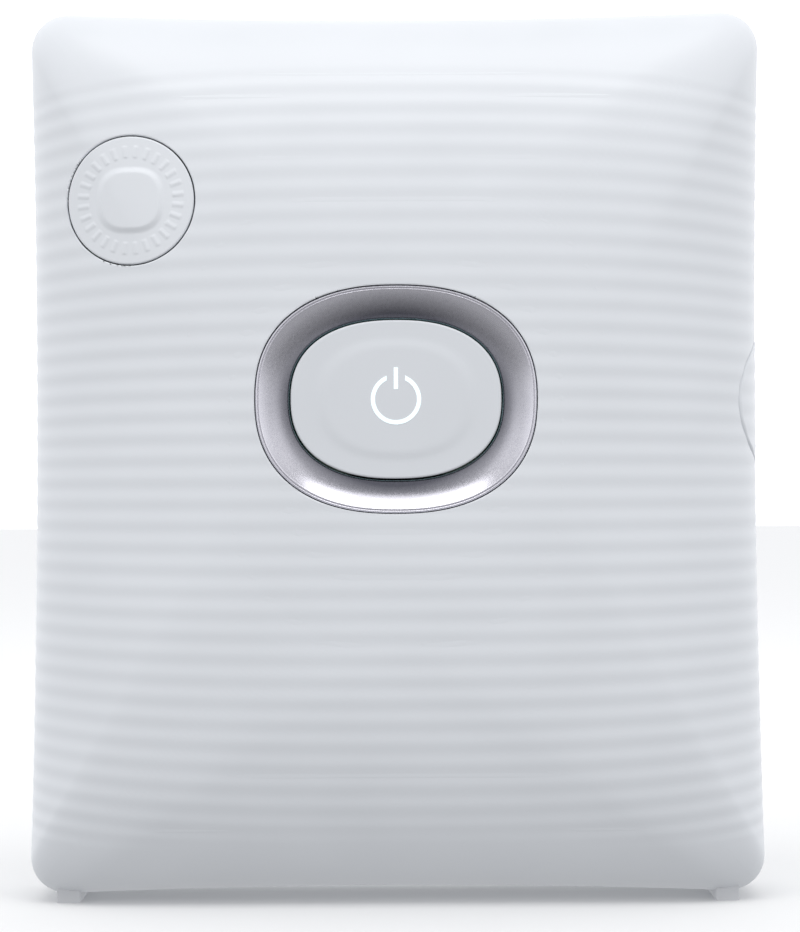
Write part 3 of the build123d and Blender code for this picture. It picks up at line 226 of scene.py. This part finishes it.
def rib_height(points):
    """Height of the ribs above the skin: a wave along the body's upright profile that fades at both ends."""
    heights = np.linspace(-HALF_HEIGHT, HALF_HEIGHT, 4000)
    rise = np.sqrt(np.maximum(1 - np.abs(heights / HALF_HEIGHT) ** FRONT_POWER, 0))
    length = np.concatenate([[0], np.cumsum(np.hypot(np.diff(heights), np.diff(FRONT_BULGE * rise)))])
    sides = np.abs(points[:, 0]) / HALF_WIDTH
    spread = 1 - RIB_CONVERGE * sides**2.7
    level = RIB_LEVEL + (points[:, 2] - RIB_LEVEL) / spread
    travelled = np.interp(level - MID_Z, heights, length)
    start = np.interp(RIB_LEVEL - MID_Z, heights, length)
    wave = 0.5 + 0.5 * np.cos(2 * pi * (travelled - start) / RIB_PITCH)
    top = smooth_step(RIB_FADE_TOP + 1.6, RIB_FADE_TOP - 1.6, level)
    foot = RIB_FADE_BOTTOM - 4 * sides**2
    return RIB_HEIGHT * wave * top * smooth_step(foot - 1.6, foot + 1.6, level)


# ---------------------------------------------------------------- cutting openings into the grid
# name: (plane's axes, axis that looks through it, direction from outside to inside, how far out the face begins)
FACES = {
    "front": ((0, 2), 1, 1.0, 2.0),
    "back": ((0, 2), 1, -1.0, 9.5),
    "right": ((1, 2), 0, -1.0, 40.0),
    "left": ((1, 2), 0, 1.0, 40.0),
    "top": ((0, 1), 2, -1.0, 45.0),
}


def face_middle(axis):
    """Middle of the body along an axis: the body stands on the floor, and is centred the other two ways."""
    return MID_Z if axis == 2 else 0.0


def on_face(points, face):
    """Which points can lie on that face of the body."""
    axis, inward, start = FACES[face][1:]
    return -inward * (points[:, axis] - face_middle(axis)) > start


def cast(tree, uv, face):
    """Where the surface lies behind each plane point of a face."""
    axes, axis, inward = FACES[face][:3]
    places = np.zeros((len(uv), 3))
    places[:, axes] = uv
    ray = Vector([inward if a == axis else 0.0 for a in range(3)])
    for index, place in enumerate(places):
        start = place.copy()
        start[axis] = face_middle(axis) - inward * OUTSIDE
        hit = tree.ray_cast(Vector(start), ray)[0]
        if hit is not None:
            places[index] = hit
    return places


def cut(points, quads, tree, shape, face, keep_inside=False):
    """Remove what the shape covers, draw the cut's edge onto its outline, and return the remaining quads."""
    axes = FACES[face][0]
    near = on_face(points, face)
    distance, edge, turn = shape(points[:, axes])
    side = -1.0 if keep_inside else 1.0
    gone = near & (side * distance < SNAP)
    if keep_inside:
        gone |= ~near
    quads = quads[~gone[quads].all(1)]
    used = np.unique(quads)
    moved = used[gone[used]]
    points[moved] = cast(tree, edge[moved], face)
    rim = np.zeros(len(points), bool)
    rim[moved] = True
    toward_gap = np.zeros_like(points)
    toward_gap[:, axes] = -side * turn
    return quads, (rim, toward_gap, face)


def boundary_edges(quads, rim):
    """Edges that one quad alone uses and whose two ends lie on the rim, in that quad's direction."""
    edges = np.concatenate([quads[:, [a, (a + 1) % 4]] for a in range(4)])
    ordered = np.sort(edges, axis=1)
    codes = ordered[:, 0] * (quads.max() + 1) + ordered[:, 1]
    first, count = np.unique(codes, return_index=True, return_counts=True)[1:]
    single = edges[first[count == 1]]
    return single[rim[single].all(1)]


def add_lip(points, quads, cut_edge, radius=EDGE_R, depth=EDGE_DEPTH):
    """Round the cut's edge over and carry it down into the opening."""
    rim, toward_gap, face = cut_edge
    edges = boundary_edges(quads, rim)
    if len(edges) == 0:
        return points, quads
    axis, inward = FACES[face][1:3]
    down = np.zeros(3)
    down[axis] = inward
    used, place = np.unique(edges, return_inverse=True)
    place = place.reshape(edges.shape)
    base = points[used]
    out = toward_gap[used]
    rings = []
    for turn in (30, 60, 90):
        angle = radians(turn)
        rings.append(base + radius * sin(angle) * out + radius * (1 - cos(angle)) * down)
    rings.append(rings[-1] + depth * down)
    previous = edges
    for ring in rings:
        start = len(points)
        points = np.concatenate([points, ring])
        current = start + place
        band = np.stack([previous[:, 1], previous[:, 0], current[:, 0], current[:, 1]], 1)
        quads = np.concatenate([quads, band])
        previous = current
    return points, quads


def add_mesh(name, points_mm, faces, material, body, normals=None):
    """A smooth mesh object from points in mm that rides on a body; rows of zeros keep their own normal."""
    mesh = bpy.data.meshes.new(name)
    used, places = np.unique(faces, return_inverse=True)
    faces = places.reshape(faces.shape)
    points = points_mm[used] * MM
    width = faces.shape[1]
    mesh.vertices.add(len(points))
    mesh.vertices.foreach_set("co", points.astype(np.float32).ravel())
    mesh.loops.add(faces.size)
    mesh.loops.foreach_set("vertex_index", faces.astype(np.int32).ravel())
    mesh.polygons.add(len(faces))
    mesh.polygons.foreach_set("loop_start", np.arange(0, faces.size, width, dtype=np.int32))
    mesh.update(calc_edges=True)
    mesh.validate()
    mesh.shade_smooth()
    if normals is not None:
        mesh.normals_split_custom_set_from_vertices(normals[used].tolist())
    mesh.materials.append(material)
    piece = bpy.data.objects.new(name, mesh)
    bpy.context.scene.collection.objects.link(piece)
    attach(piece, body)
    return piece


def skin(name, levels, spots, cuts, material, body, ribs=False):
    """A finished outer surface with its openings cut and lipped; returns the tree of the surface before the cuts."""
    points, quads = grid(levels, spots)
    normals = vertex_normals(points, quads)
    tree = BVHTree.FromPolygons([Vector(p) for p in points], quads.tolist())
    edges = []
    for shape, face, keep_inside in cuts:
        quads, edge = cut(points, quads, tree, shape, face, keep_inside)
        edges.append(edge)
    if ribs:
        rib_normals = ribbed_normals(points, normals)
        points = points + normals * rib_height(points)[:, None]
        normals = rib_normals
    for rim, toward_gap, face in edges:
        padding = len(points) - len(rim)
        rim = np.concatenate([rim, np.zeros(padding, bool)])
        points, quads = add_lip(points, quads, (rim, toward_gap, face))
    on_lips = np.zeros((len(points) - len(normals), 3))
    add_mesh(name, points, quads, material, body, np.concatenate([normals, on_lips]))
    return tree


# ---------------------------------------------------------------- materials
def new_material(name):
    """Material with its Principled shader and a coordinate node, both ready to use."""
    material = bpy.data.materials.new(name)
    material.use_nodes = True
    nodes = material.node_tree.nodes
    shader = nodes["Principled BSDF"]
    coordinates = nodes.new("ShaderNodeTexCoord")
    return material, nodes, material.node_tree.links, shader, coordinates


def noise(nodes, links, coordinates, scale, detail=3.0, stretch=(1, 1, 1)):
    """Noise in the object's own space, scaled per metre and stretched along the axes."""
    mapping = nodes.new("ShaderNodeMapping")
    mapping.inputs["Scale"].default_value = stretch
    links.new(coordinates.outputs["Object"], mapping.inputs["Vector"])
    texture = nodes.new("ShaderNodeTexNoise")
    texture.inputs["Scale"].default_value = scale
    texture.inputs["Detail"].default_value = detail
    links.new(mapping.outputs["Vector"], texture.inputs["Vector"])
    return texture.outputs["Fac"]


def remap(nodes, links, value, low, high):
    """A 0 to 1 value carried to another range."""
    node = nodes.new("ShaderNodeMapRange")
    node.inputs["From Min"].default_value = 0.3
    node.inputs["From Max"].default_value = 0.7
    node.inputs["To Min"].default_value = low
    node.inputs["To Max"].default_value = high
    links.new(value, node.inputs["Value"])
    return node.outputs["Result"]


def vary_colour(nodes, links, shader, value, dark, light):
    """Base colour that drifts between two close colours."""
    ramp = nodes.new("ShaderNodeValToRGB")
    ramp.color_ramp.elements[0].position = 0.3
    ramp.color_ramp.elements[1].position = 0.7
    ramp.color_ramp.elements[0].color = (*dark, 1)
    ramp.color_ramp.elements[1].color = (*light, 1)
    links.new(value, ramp.inputs["Fac"])
    links.new(ramp.outputs["Color"], shader.inputs["Base Color"])


def add_bump(nodes, links, shader, height, distance):
    """Small relief from a height value."""
    bump = nodes.new("ShaderNodeBump")
    bump.inputs["Strength"].default_value = 1.0
    bump.inputs["Distance"].default_value = distance
    links.new(height, bump.inputs["Height"])
    links.new(bump.outputs["Normal"], shader.inputs["Normal"])


def shades(colour, spread):
    """A darker and a lighter neighbour of a colour."""
    return [c * (1 - spread) for c in colour], [min(c * (1 + spread), 1.0) for c in colour]


def plastic(name, colour, roughness=0.45, grain=9000, relief=2e-6, spread=0.015):
    """Moulded plastic: fine eroded grain, slightly uneven gloss and colour."""
    material, nodes, links, shader, coordinates = new_material(name)
    broad = noise(nodes, links, coordinates, 60)
    fine = noise(nodes, links, coordinates, grain, 2)
    vary_colour(nodes, links, shader, broad, *shades(colour, spread))
    links.new(remap(nodes, links, broad, roughness - 0.03, roughness + 0.03), shader.inputs["Roughness"])
    add_bump(nodes, links, shader, fine, relief)
    return material


def metal(name, colour, roughness=0.3, stretch=(1, 1, 1), grain=4000, relief=1e-6, spread=0.05):
    """Metal with drawn or blasted grain: the stretch sets the grain's direction."""
    material, nodes, links, shader, coordinates = new_material(name)
    shader.inputs["Metallic"].default_value = 1.0
    grainy = noise(nodes, links, coordinates, grain, 4, stretch)
    vary_colour(nodes, links, shader, grainy, *shades(colour, spread))
    links.new(remap(nodes, links, grainy, roughness - 0.06, roughness + 0.06), shader.inputs["Roughness"])
    add_bump(nodes, links, shader, grainy, relief)
    return material


def dish_metal_with_painted_shade(name, outer, painted_inner_shade, centre, half):
    """Satin metal with painted shade: its colour darkens toward the middle of an oval dish, as shade in the recess
    would; sizes in mm.
    """
    material = metal(name, outer, 0.27, grain=9000, relief=3e-6)
    nodes, links = material.node_tree.nodes, material.node_tree.links
    shader, coordinates = nodes["Principled BSDF"], nodes["Texture Coordinate"]
    place = nodes.new("ShaderNodeMapping")
    place.inputs["Location"].default_value = (-centre[0] / half[0], 0, -centre[1] / half[1])
    place.inputs["Scale"].default_value = (1 / half[0] / MM, 0, 1 / half[1] / MM)
    links.new(coordinates.outputs["Object"], place.inputs["Vector"])
    reach = nodes.new("ShaderNodeVectorMath")
    reach.operation = "LENGTH"
    links.new(place.outputs["Vector"], reach.inputs[0])
    # painted shade: the base colour goes dark toward the dish's inner edge, in place of the recess's shade
    painted_shade_ramp = nodes.new("ShaderNodeValToRGB")
    painted_shade_ramp.color_ramp.elements[0].position = 0.76
    painted_shade_ramp.color_ramp.elements[1].position = 0.98
    painted_shade_ramp.color_ramp.elements[0].color = (*painted_inner_shade, 1)
    painted_shade_ramp.color_ramp.elements[1].color = (*outer, 1)
    links.new(reach.outputs["Value"], painted_shade_ramp.inputs["Fac"])
    sparkle = noise(nodes, links, coordinates, 9000, 2)
    speck = nodes.new("ShaderNodeMix")
    speck.data_type = "RGBA"
    speck.blend_type = "OVERLAY"
    speck.inputs["Factor"].default_value = 0.5
    links.new(painted_shade_ramp.outputs["Color"], speck.inputs["A"])
    links.new(sparkle, speck.inputs["B"])
    links.new(speck.outputs["Result"], shader.inputs["Base Color"])
    return material


def rubber(name, colour):
    """Soft rubber: dull, with a powdery grain."""
    return plastic(name, colour, 0.75, 5000, 6e-6, 0.06)


def circuit_board(name):
    """Green solder mask with slightly paler tracks."""
    material, nodes, links, shader, coordinates = new_material(name)
    tracks = nodes.new("ShaderNodeTexBrick")
    tracks.inputs["Scale"].default_value = 260
    tracks.inputs["Color1"].default_value = (0.010, 0.105, 0.050, 1)
    tracks.inputs["Color2"].default_value = (0.012, 0.125, 0.060, 1)
    tracks.inputs["Mortar"].default_value = (0.030, 0.220, 0.110, 1)
    tracks.inputs["Mortar Size"].default_value = 0.03
    turn = nodes.new("ShaderNodeMapping")
    turn.inputs["Rotation"].default_value = (radians(90), 0, 0)
    links.new(coordinates.outputs["Object"], turn.inputs["Vector"])
    links.new(turn.outputs["Vector"], tracks.inputs["Vector"])
    links.new(tracks.outputs["Color"], shader.inputs["Base Color"])
    shader.inputs["Coat Weight"].default_value = 0.4
    links.new(remap(nodes, links, tracks.outputs["Fac"], 0.35, 0.28), shader.inputs["Roughness"])
    add_bump(nodes, links, shader, tracks.outputs["Fac"], 2e-5)
    return material


def foil(name, colour):
    """Crinkled foil of a pouch cell."""
    return metal(name, colour, 0.32, grain=160, relief=8e-5)


def clear(name, colour, roughness, transmission, glow=0.0):
    """Clear or milky moulding with slight flow marks; glow lets it light up."""
    material, nodes, links, shader, coordinates = new_material(name)
    flow = noise(nodes, links, coordinates, 300)
    vary_colour(nodes, links, shader, flow, *shades(colour, 0.02))
    links.new(remap(nodes, links, flow, roughness, roughness + 0.05), shader.inputs["Roughness"])
    shader.inputs["Transmission Weight"].default_value = transmission
    shader.inputs["IOR"].default_value = 1.49
    if glow > 0:
        shader.inputs["Emission Color"].default_value = (*colour, 1)
        shader.inputs["Emission Strength"].default_value = glow
    return material


def fabric(name, colour):
    """Short dense pile."""
    material, nodes, links, shader, coordinates = new_material(name)
    pile = noise(nodes, links, coordinates, 6000, 5)
    vary_colour(nodes, links, shader, pile, *shades(colour, 0.4))
    links.new(remap(nodes, links, pile, 0.9, 1.0), shader.inputs["Roughness"])
    shader.inputs["Sheen Weight"].default_value = 0.4
    add_bump(nodes, links, shader, pile, 8e-5)
    return material


def paper_with_painted_light(name, near, far):
    """Matt backdrop paper with painted light: its colour grows paler away from the object, standing in for the lamp
    light that the far floor lacks.
    """
    material, nodes, links, shader, coordinates = new_material(name)
    reach = nodes.new("ShaderNodeVectorMath")
    reach.operation = "LENGTH"
    links.new(coordinates.outputs["Object"], reach.inputs[0])
    # painted light: the floor's colour pales with distance from the object
    painted_light_ramp = nodes.new("ShaderNodeMapRange")
    painted_light_ramp.inputs["From Min"].default_value = 0.08
    painted_light_ramp.inputs["From Max"].default_value = 0.5
    painted_light_ramp.inputs["To Min"].default_value = near
    painted_light_ramp.inputs["To Max"].default_value = far
    links.new(reach.outputs["Value"], painted_light_ramp.inputs["Value"])
    links.new(painted_light_ramp.outputs["Result"], shader.inputs["Base Color"])
    fibre = noise(nodes, links, coordinates, 900)
    links.new(remap(nodes, links, fibre, 0.85, 0.95), shader.inputs["Roughness"])
    return material


WHITE = (0.70, 0.72, 0.75)
SLOT_MATERIALS = {
    "shell_plastic": plastic("shell_white", WHITE, 0.42),
    "button_plastic": plastic("button_white", (0.66, 0.68, 0.71), 0.38),
    "silver_ring": metal("ring_silver", (0.40, 0.39, 0.43), 0.27, grain=9000, relief=3e-6, spread=0.10),
    "light_pipe": clear("light_pipe", (0.16, 0.27, 0.30), 0.25, 0.35, 0.1),
    "dark_plastic": plastic("chassis_black", (0.028, 0.028, 0.031), 0.55, 5000, 6e-6, 0.10),
    "grey_plastic": plastic("trim_grey", (0.30, 0.31, 0.33), 0.45),
    "window": clear("window_smoke", (0.22, 0.22, 0.18), 0.12, 0.6),
    "board": circuit_board("solder_mask"),
    "components": plastic("chip_epoxy", (0.022, 0.022, 0.024), 0.5, 7000, 4e-6, 0.15),
    "shield": metal("tinned_can", (0.68, 0.68, 0.66), 0.35, (1, 1, 12), 1500),
    "steel": metal("bright_steel", (0.60, 0.61, 0.62), 0.28, (1, 8, 8), 1800),
    "screw_steel": metal("zinc_screw", (0.48, 0.49, 0.50), 0.34, grain=3000),
    "spring_steel": metal("spring_steel", (0.52, 0.52, 0.53), 0.25, grain=2500),
    "led": clear("led_lens", (0.95, 0.93, 0.78), 0.3, 0.2, 0.3),
    "battery_foil": foil("pouch_foil", (0.70, 0.71, 0.73)),
    "flex": plastic("polyimide", (0.42, 0.20, 0.04), 0.3, 2000, 2e-6, 0.08),
    "lens": clear("lens_glass", (0.85, 0.90, 0.95), 0.03, 0.9),
    "roller_rubber": rubber("roller_rubber", (0.035, 0.035, 0.037)),
    "gear_plastic": plastic("acetal", (0.74, 0.73, 0.68), 0.35),
    "brass": metal("turned_brass", (0.72, 0.55, 0.25), 0.25, (8, 1, 1), 1500),
    "felt": fabric("seal_pile", (0.02, 0.02, 0.02)),
    "foot_rubber": rubber("foot_rubber", (0.55, 0.56, 0.58)),
}
SHELL = SLOT_MATERIALS["shell_plastic"]

for entry in frame["record"]["subparts"]:
    node = frame["nodes"][entry["node"]]
    node.data.materials.clear()
    node.data.materials.append(SLOT_MATERIALS[entry["material_slot"]])

lit_mark = clear("lit_mark", (0.86, 0.97, 1.0), 0.3, 0.1, 0.32)
frame["nodes"]["power_symbol"].data.materials[0] = lit_mark

# ---------------------------------------------------------------- front cover's ribbed skin
DIAL = node_centre("led_bezel", (0, 2))
BEZEL_HALF = np.array(node_half("led_bezel", (0, 2))) - 1.2  # without the hidden flange
FUNCTION = node_centre("function_button", (0, 2))
FUNCTION_R = node_half("function_button", (0, 2))[0]
LATCH = node_centre("latch_button", (1, 2))
LATCH_R = node_half("latch_button", (1, 2))[0]
PORT = node_centre("usb_c_receptacle", (1, 2))
RESET = node_centre("reset_button", (1, 2))
SLOT = node_centre("exit_bezel", (0, 1))
SLOT_HALF = np.array(node_half("exit_bezel", (0, 1)))
LINE = 0.17  # visible gap round each button
GROOVE = 0.18  # half the groove between the covers
TRIM_GAP = 0.1  # gap round the dial's ring and the exit slot's trim
PORT_HALF = (2.1, 5.05)
RESET_R = 1.5


def round_opening(centre, radius):
    """A round hole's outline, for cut()."""
    return rounded_box(centre, (radius, radius), radius)


front_levels = bulge_levels(BAND_FRONT_Y, -FRONT_BULGE - SKIN, FRONT_POWER, 150, 0.10)
front_levels += [(1.0, y) for y in np.linspace(BAND_FRONT_Y, PARTING_Y - GROOVE, 19)[1:]]
front_cuts = [
    (oval(DIAL, BEZEL_HALF + TRIM_GAP + EDGE_R), "front", False),
    (round_opening(FUNCTION, FUNCTION_R + LINE + EDGE_R), "front", False),
    (round_opening(LATCH, LATCH_R + LINE + EDGE_R), "right", False),
    (rounded_box(PORT, PORT_HALF, PORT_HALF[0]), "left", False),
    (round_opening(RESET, RESET_R), "left", False),
    (rounded_box(SLOT, SLOT_HALF + TRIM_GAP + EDGE_R, SLOT_HALF[1] + TRIM_GAP + EDGE_R), "top", False),
]
front_tree = skin(
    "front_skin", front_levels, perimeter(262, 61), front_cuts, SHELL, "printer", ribs=True
)

# ---------------------------------------------------------------- rear cover's and film door's smooth skins
DOOR_MID, DOOR_HALF, DOOR_CORNER = (1.85, 54.25), np.array([41.55, 47.75]), 8.0
OPENING_MID, OPENING_HALF, OPENING_CORNER = (0.3, 54.25), np.array([43.45, 48.1]), 8.35
SCREW_SPOTS = ((43.0, 7.2), (-43.0, 7.2), (43.2, 113.2), (-43.2, 113.2))
SCREW_WELL_R = 2.15
KNUCKLE_X, KNUCKLE_Z, KNUCKLE_HALF, KNUCKLE_CORNER = -43.0, (12.6, 95.4), (5.0, 2.4), 0.3
WINDOW_CORNER = 0.6
rear_levels = [(1.0, PARTING_Y + GROOVE), (1.0, BAND_BACK_Y)]
rear_levels += bulge_levels(BAND_BACK_Y, BACK_BULGE + SKIN, BACK_POWER, 60, 0.02)[::-1][1:]
rear_cuts = [(rounded_box(OPENING_MID, OPENING_HALF + EDGE_R, OPENING_CORNER + EDGE_R), "back", False)]
for spot in SCREW_SPOTS:
    rear_cuts.append((round_opening(spot, SCREW_WELL_R), "back", False))
skin("rear_skin", rear_levels, perimeter(130, 110), rear_cuts, SHELL, "printer")
WINDOW, WINDOW_HALF = node_centre("film_window", (0, 2)), np.array(node_half("film_window", (0, 2)))
door_cuts = [
    (rounded_box(DOOR_MID, DOOR_HALF - EDGE_R, DOOR_CORNER - EDGE_R), "back", True),
    (rounded_box(WINDOW, WINDOW_HALF + EDGE_R, WINDOW_CORNER), "back", False),
]
for z in KNUCKLE_Z:
    door_cuts.append((rounded_box((KNUCKLE_X, z), KNUCKLE_HALF, KNUCKLE_CORNER), "back", False))
skin("door_skin", rear_levels, perimeter(130, 110), door_cuts, SHELL, "door")


# ---------------------------------------------------------------- round and oval pieces
def ring_faces(rings, around):
    """Quads between rings of points, each ring with the same count."""
    step = np.arange(around)
    following = (step + 1) % around
    faces = []
    for ring in range(rings - 1):
        here, there = ring * around, (ring + 1) * around
        faces.append(np.stack([here + step, here + following, there + following, there + step], 1))
    return np.concatenate(faces)


def oval_ring(half, around=240):
    """Points of a squarish oval round the dial's centre, as x and z."""
    angle = np.linspace(0, 2 * pi, around, endpoint=False)
    share = 2 / OVAL_POWER
    x = half[0] * np.sign(np.cos(angle)) * np.abs(np.cos(angle)) ** share
    z = half[1] * np.sign(np.sin(angle)) * np.abs(np.sin(angle)) ** share
    return np.stack([DIAL[0] + x, DIAL[1] + z], 1)


def oval_piece(name, profile, material, body, around=240):
    """Piece whose rings are ovals, each given by its half sizes and its depth y."""
    rings = []
    for half_x, half_z, y in profile:
        flat = oval_ring((half_x, half_z), around)
        rings.append(np.stack([flat[:, 0], np.full(around, y), flat[:, 1]], 1))
    return add_mesh(name, np.concatenate(rings), ring_faces(len(rings), around), material, body)


def arc_profile(half, y, radius, start, stop, steps=5):
    """Part of a small edge rounding: angles run from facing outward, 0, to facing forward, 90."""
    profile = []
    for angle in np.radians(np.linspace(start, stop, steps)):
        grow = radius * (cos(angle) - 1)
        profile.append((half[0] + grow, half[1] + grow, y + radius - radius * sin(angle)))
    return profile


# ---------------------------------------------------------------- dished ring round the power button
RIM_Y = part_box("led_bezel")[0][1] / MM - 0.1  # the ring's front edge
RIM_R = 0.18
RIM_GROOVE = ((0.26, 0.0), (0.31, 0.14), (0.40, 0.14), (0.45, 0.0), (0.5, 0.0))  # inset from the rim, and depth
DISH_HALF, DISH_DEPTH, DISH_CURVE = np.array([14.02, 10.62]), 1.62, 0.9
RING_WALL = 3.1  # how far the ring's walls reach in behind its front edge
rim_half = BEZEL_HALF - RIM_GROOVE[-1][0]
profile = [(*BEZEL_HALF, RIM_Y + RING_WALL)]
profile += arc_profile(BEZEL_HALF, RIM_Y, RIM_R, 0, 90)
for inset, depth in RIM_GROOVE:
    profile.append((*(BEZEL_HALF - inset), RIM_Y + depth))
for share in np.linspace(0, 1, 22)[1:]:
    half = rim_half + (DISH_HALF - rim_half) * share
    profile.append((*half, RIM_Y + DISH_DEPTH * sin(share * pi / 2) ** DISH_CURVE))
profile.append((*DISH_HALF, RIM_Y + RING_WALL + 0.1))
# the dish's dark inner colour is painted shade
dish_painted_shade_material = dish_metal_with_painted_shade("dish_silver_painted_shade", (0.62, 0.61, 0.66), (0.10, 0.10, 0.12), DIAL, BEZEL_HALF)
bezel_skin = oval_piece("bezel_skin", profile, dish_painted_shade_material, "printer")
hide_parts("led_bezel")

# ---------------------------------------------------------------- power button's face
POWER_HALF = np.array([13.7, 10.3])
POWER_EDGE_R = 0.25
POWER_WALL = 2.5  # how far the button's wall reaches in
STEP_HEIGHT, STEP_FROM, STEP_TO, CROWN = 0.16, 0.19, 0.33, 0.07  # raised middle of the face, and its crown
POLE = 0.9995  # the innermost ring is closed but for this share
shoulder_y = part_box("power_symbol")[0][1] / MM + 0.25
profile = [(*POWER_HALF, shoulder_y + POWER_WALL)]
profile += arc_profile(POWER_HALF, shoulder_y, POWER_EDGE_R, 0, 90)
for share in np.linspace(0, 1, 26):
    half = (POWER_HALF - 0.3) * (1 - POLE * share)
    rise = smooth_step(STEP_FROM, STEP_TO, share) * STEP_HEIGHT + CROWN * share
    profile.append((*half, shoulder_y - rise))
power_skin = oval_piece("power_skin", profile, SLOT_MATERIALS["button_plastic"], "power_key")
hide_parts("power_button")


# ---------------------------------------------------------------- function button and latch button
def disc_points(centre, radius, rings, around):
    """Plane points of a disc, ring by ring from its middle to its edge."""
    angle = np.linspace(0, 2 * pi, around, endpoint=False)
    rounds = np.stack([np.cos(angle), np.sin(angle)], 1)
    return np.concatenate([np.array(centre) + rounds * radius * share for share in rings])


def disc_cap(name, centre, radius, tree, face, relief, material, body, depth=2.0, around=240):
    """Button cap that follows the body's surface, with relief on its face and a rounded edge."""
    shares = np.concatenate([np.linspace(0.0005, 0.97, 70), [0.98, 0.99, 1.0]])
    flat = disc_points(centre, radius, shares, around)
    points = cast(tree, flat, face)
    axis, inward = FACES[face][1:3]
    from_edge = radius * (1 - np.repeat(shares, around))
    rounding = EDGE_R - np.sqrt(np.maximum(EDGE_R**2 - np.maximum(EDGE_R - from_edge, 0) ** 2, 0))
    points[:, axis] -= inward * (relief(flat - centre, points) - rounding)
    wall = points[-around:].copy()
    wall[:, axis] += inward * depth
    points = np.concatenate([points, wall])
    return add_mesh(name, points, ring_faces(len(shares) + 1, around), material, body)


TICKS, TICK_REACH, TICK_HEIGHT = 28, 6.35, 0.09
PLATEAU_HALF, PLATEAU_POWER, PLATEAU_HEIGHT = np.array([4.05, 3.9]), 2.7, 0.34


def function_relief(offset, points):
    """A soft-edged oval plateau inside a ring of short raised bars."""
    plateau = (np.abs(offset / PLATEAU_HALF) ** PLATEAU_POWER).sum(1) ** (1 / PLATEAU_POWER)
    height = PLATEAU_HEIGHT * smooth_step(1.14, 0.90, plateau)
    reach = np.linalg.norm(offset, axis=1)
    angle = np.arctan2(offset[:, 1], offset[:, 0])
    phase = (angle / (2 * pi) * TICKS) % 1.0
    sideways = np.abs(phase - 0.5) * 2 * pi * reach / TICKS
    bar = smooth_step(0.34, 0.18, sideways) * smooth_step(0.85, 0.65, np.abs(reach - TICK_REACH))
    return height + TICK_HEIGHT * bar


function_skin = disc_cap(
    "function_skin", FUNCTION, FUNCTION_R, front_tree, "front", function_relief,
    SHELL, "function_key",
)
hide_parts("function_button")
disc_cap(
    "latch_skin", LATCH, LATCH_R, front_tree, "right", lambda offset, points: rib_height(points),
    SHELL, "latch",
)

# ---------------------------------------------------------------- floor, camera and light
low, high = cad_box
centre = (Vector(low) + Vector(high)) / 2

floor_mesh = bpy.data.meshes.new("floor")
FLOOR = 6.0
floor_corners = [(-FLOOR, -FLOOR, 0), (FLOOR, -FLOOR, 0), (FLOOR, FLOOR, 0), (-FLOOR, FLOOR, 0)]
floor_mesh.from_pydata(floor_corners, [], [(0, 1, 2, 3)])
floor = bpy.data.objects.new("floor", floor_mesh)
bpy.context.scene.collection.objects.link(floor)
# painted light: the floor paper is darker near the object and paler far off
floor_mesh.materials.append(paper_with_painted_light("floor_white", 0.82, 0.97))
floor.visible_diffuse = False  # the floor is a card that sends no light back up
floor.visible_glossy = False

DISTANCE = 0.45
PITCH = radians(0.3)
ROLL = radians(0.25)
AIM_Z = 0.056
camera = bpy.data.objects.new("camera", bpy.data.cameras.new("camera"))
bpy.context.scene.collection.objects.link(camera)
camera.data.sensor_fit = "HORIZONTAL"
camera.data.sensor_width = 36.0
camera.data.lens = 36.0 * (DISTANCE - 0.016) / 0.1049
camera.data.clip_start = 0.01
camera.location = (0, -DISTANCE * cos(PITCH), AIM_Z - DISTANCE * sin(PITCH))
camera.rotation_euler = (radians(90) + PITCH, ROLL, 0)
camera.data.shift_x = 0.0045
camera.data.shift_y = 0.0205
bpy.context.scene.camera = camera
bpy.context.scene.view_settings.view_transform = "Standard"


def softbox(name, place, size, power, target):
    """Rectangular area light that faces the target."""
    light = bpy.data.lights.new(name, "AREA")
    light.shape = "RECTANGLE"
    light.size, light.size_y = size
    light.energy = power
    lamp = bpy.data.objects.new(name, light)
    lamp.location = place
    lamp.rotation_euler = (Vector(target) - Vector(place)).to_track_quat("-Z", "Y").to_euler()
    bpy.context.scene.collection.objects.link(lamp)


softbox("overhead", (0, -0.34, 0.80), (0.8, 0.45), 3.05, centre)
softbox("front_left", (-0.7, -0.9, 0.45), (0.5, 0.8), 0.51, centre)
softbox("front_right", (0.7, -0.9, 0.45), (0.5, 0.8), 0.51, centre)

world = bpy.data.worlds.new("studio")
bpy.context.scene.world = world
world.use_nodes = True
sky = world.node_tree
direction = sky.nodes.new("ShaderNodeTexCoord")
split = sky.nodes.new("ShaderNodeSeparateXYZ")
sky.links.new(direction.outputs["Generated"], split.inputs["Vector"])


def sky_ramp(axis, start, end, low, high):
    """Brightness that changes from low to high as the direction's part along an axis goes from start to end."""
    ramp = sky.nodes.new("ShaderNodeMapRange")
    ramp.inputs["From Min"].default_value = start
    ramp.inputs["From Max"].default_value = end
    ramp.inputs["To Min"].default_value = low
    ramp.inputs["To Max"].default_value = high
    sky.links.new(split.outputs[axis], ramp.inputs["Value"])
    return ramp.outputs["Result"]


strength = sky_ramp("Y", -0.6, 0.6, 1.12, 1.7)  # brighter behind the object than in front of it
for other in (sky_ramp("Z", -0.25, 0.0, 0.42, 1.0), sky_ramp("Z", 0.25, 0.85, 1.0, 0.5)):
    product = sky.nodes.new("ShaderNodeMath")
    product.operation = "MULTIPLY"
    sky.links.new(strength, product.inputs[0])
    sky.links.new(other, product.inputs[1])
    strength = product.outputs["Value"]
background = sky.nodes["Background"]
background.inputs["Color"].default_value = (0.97, 0.98, 1.0, 1)
sky.links.new(strength, background.inputs["Strength"])
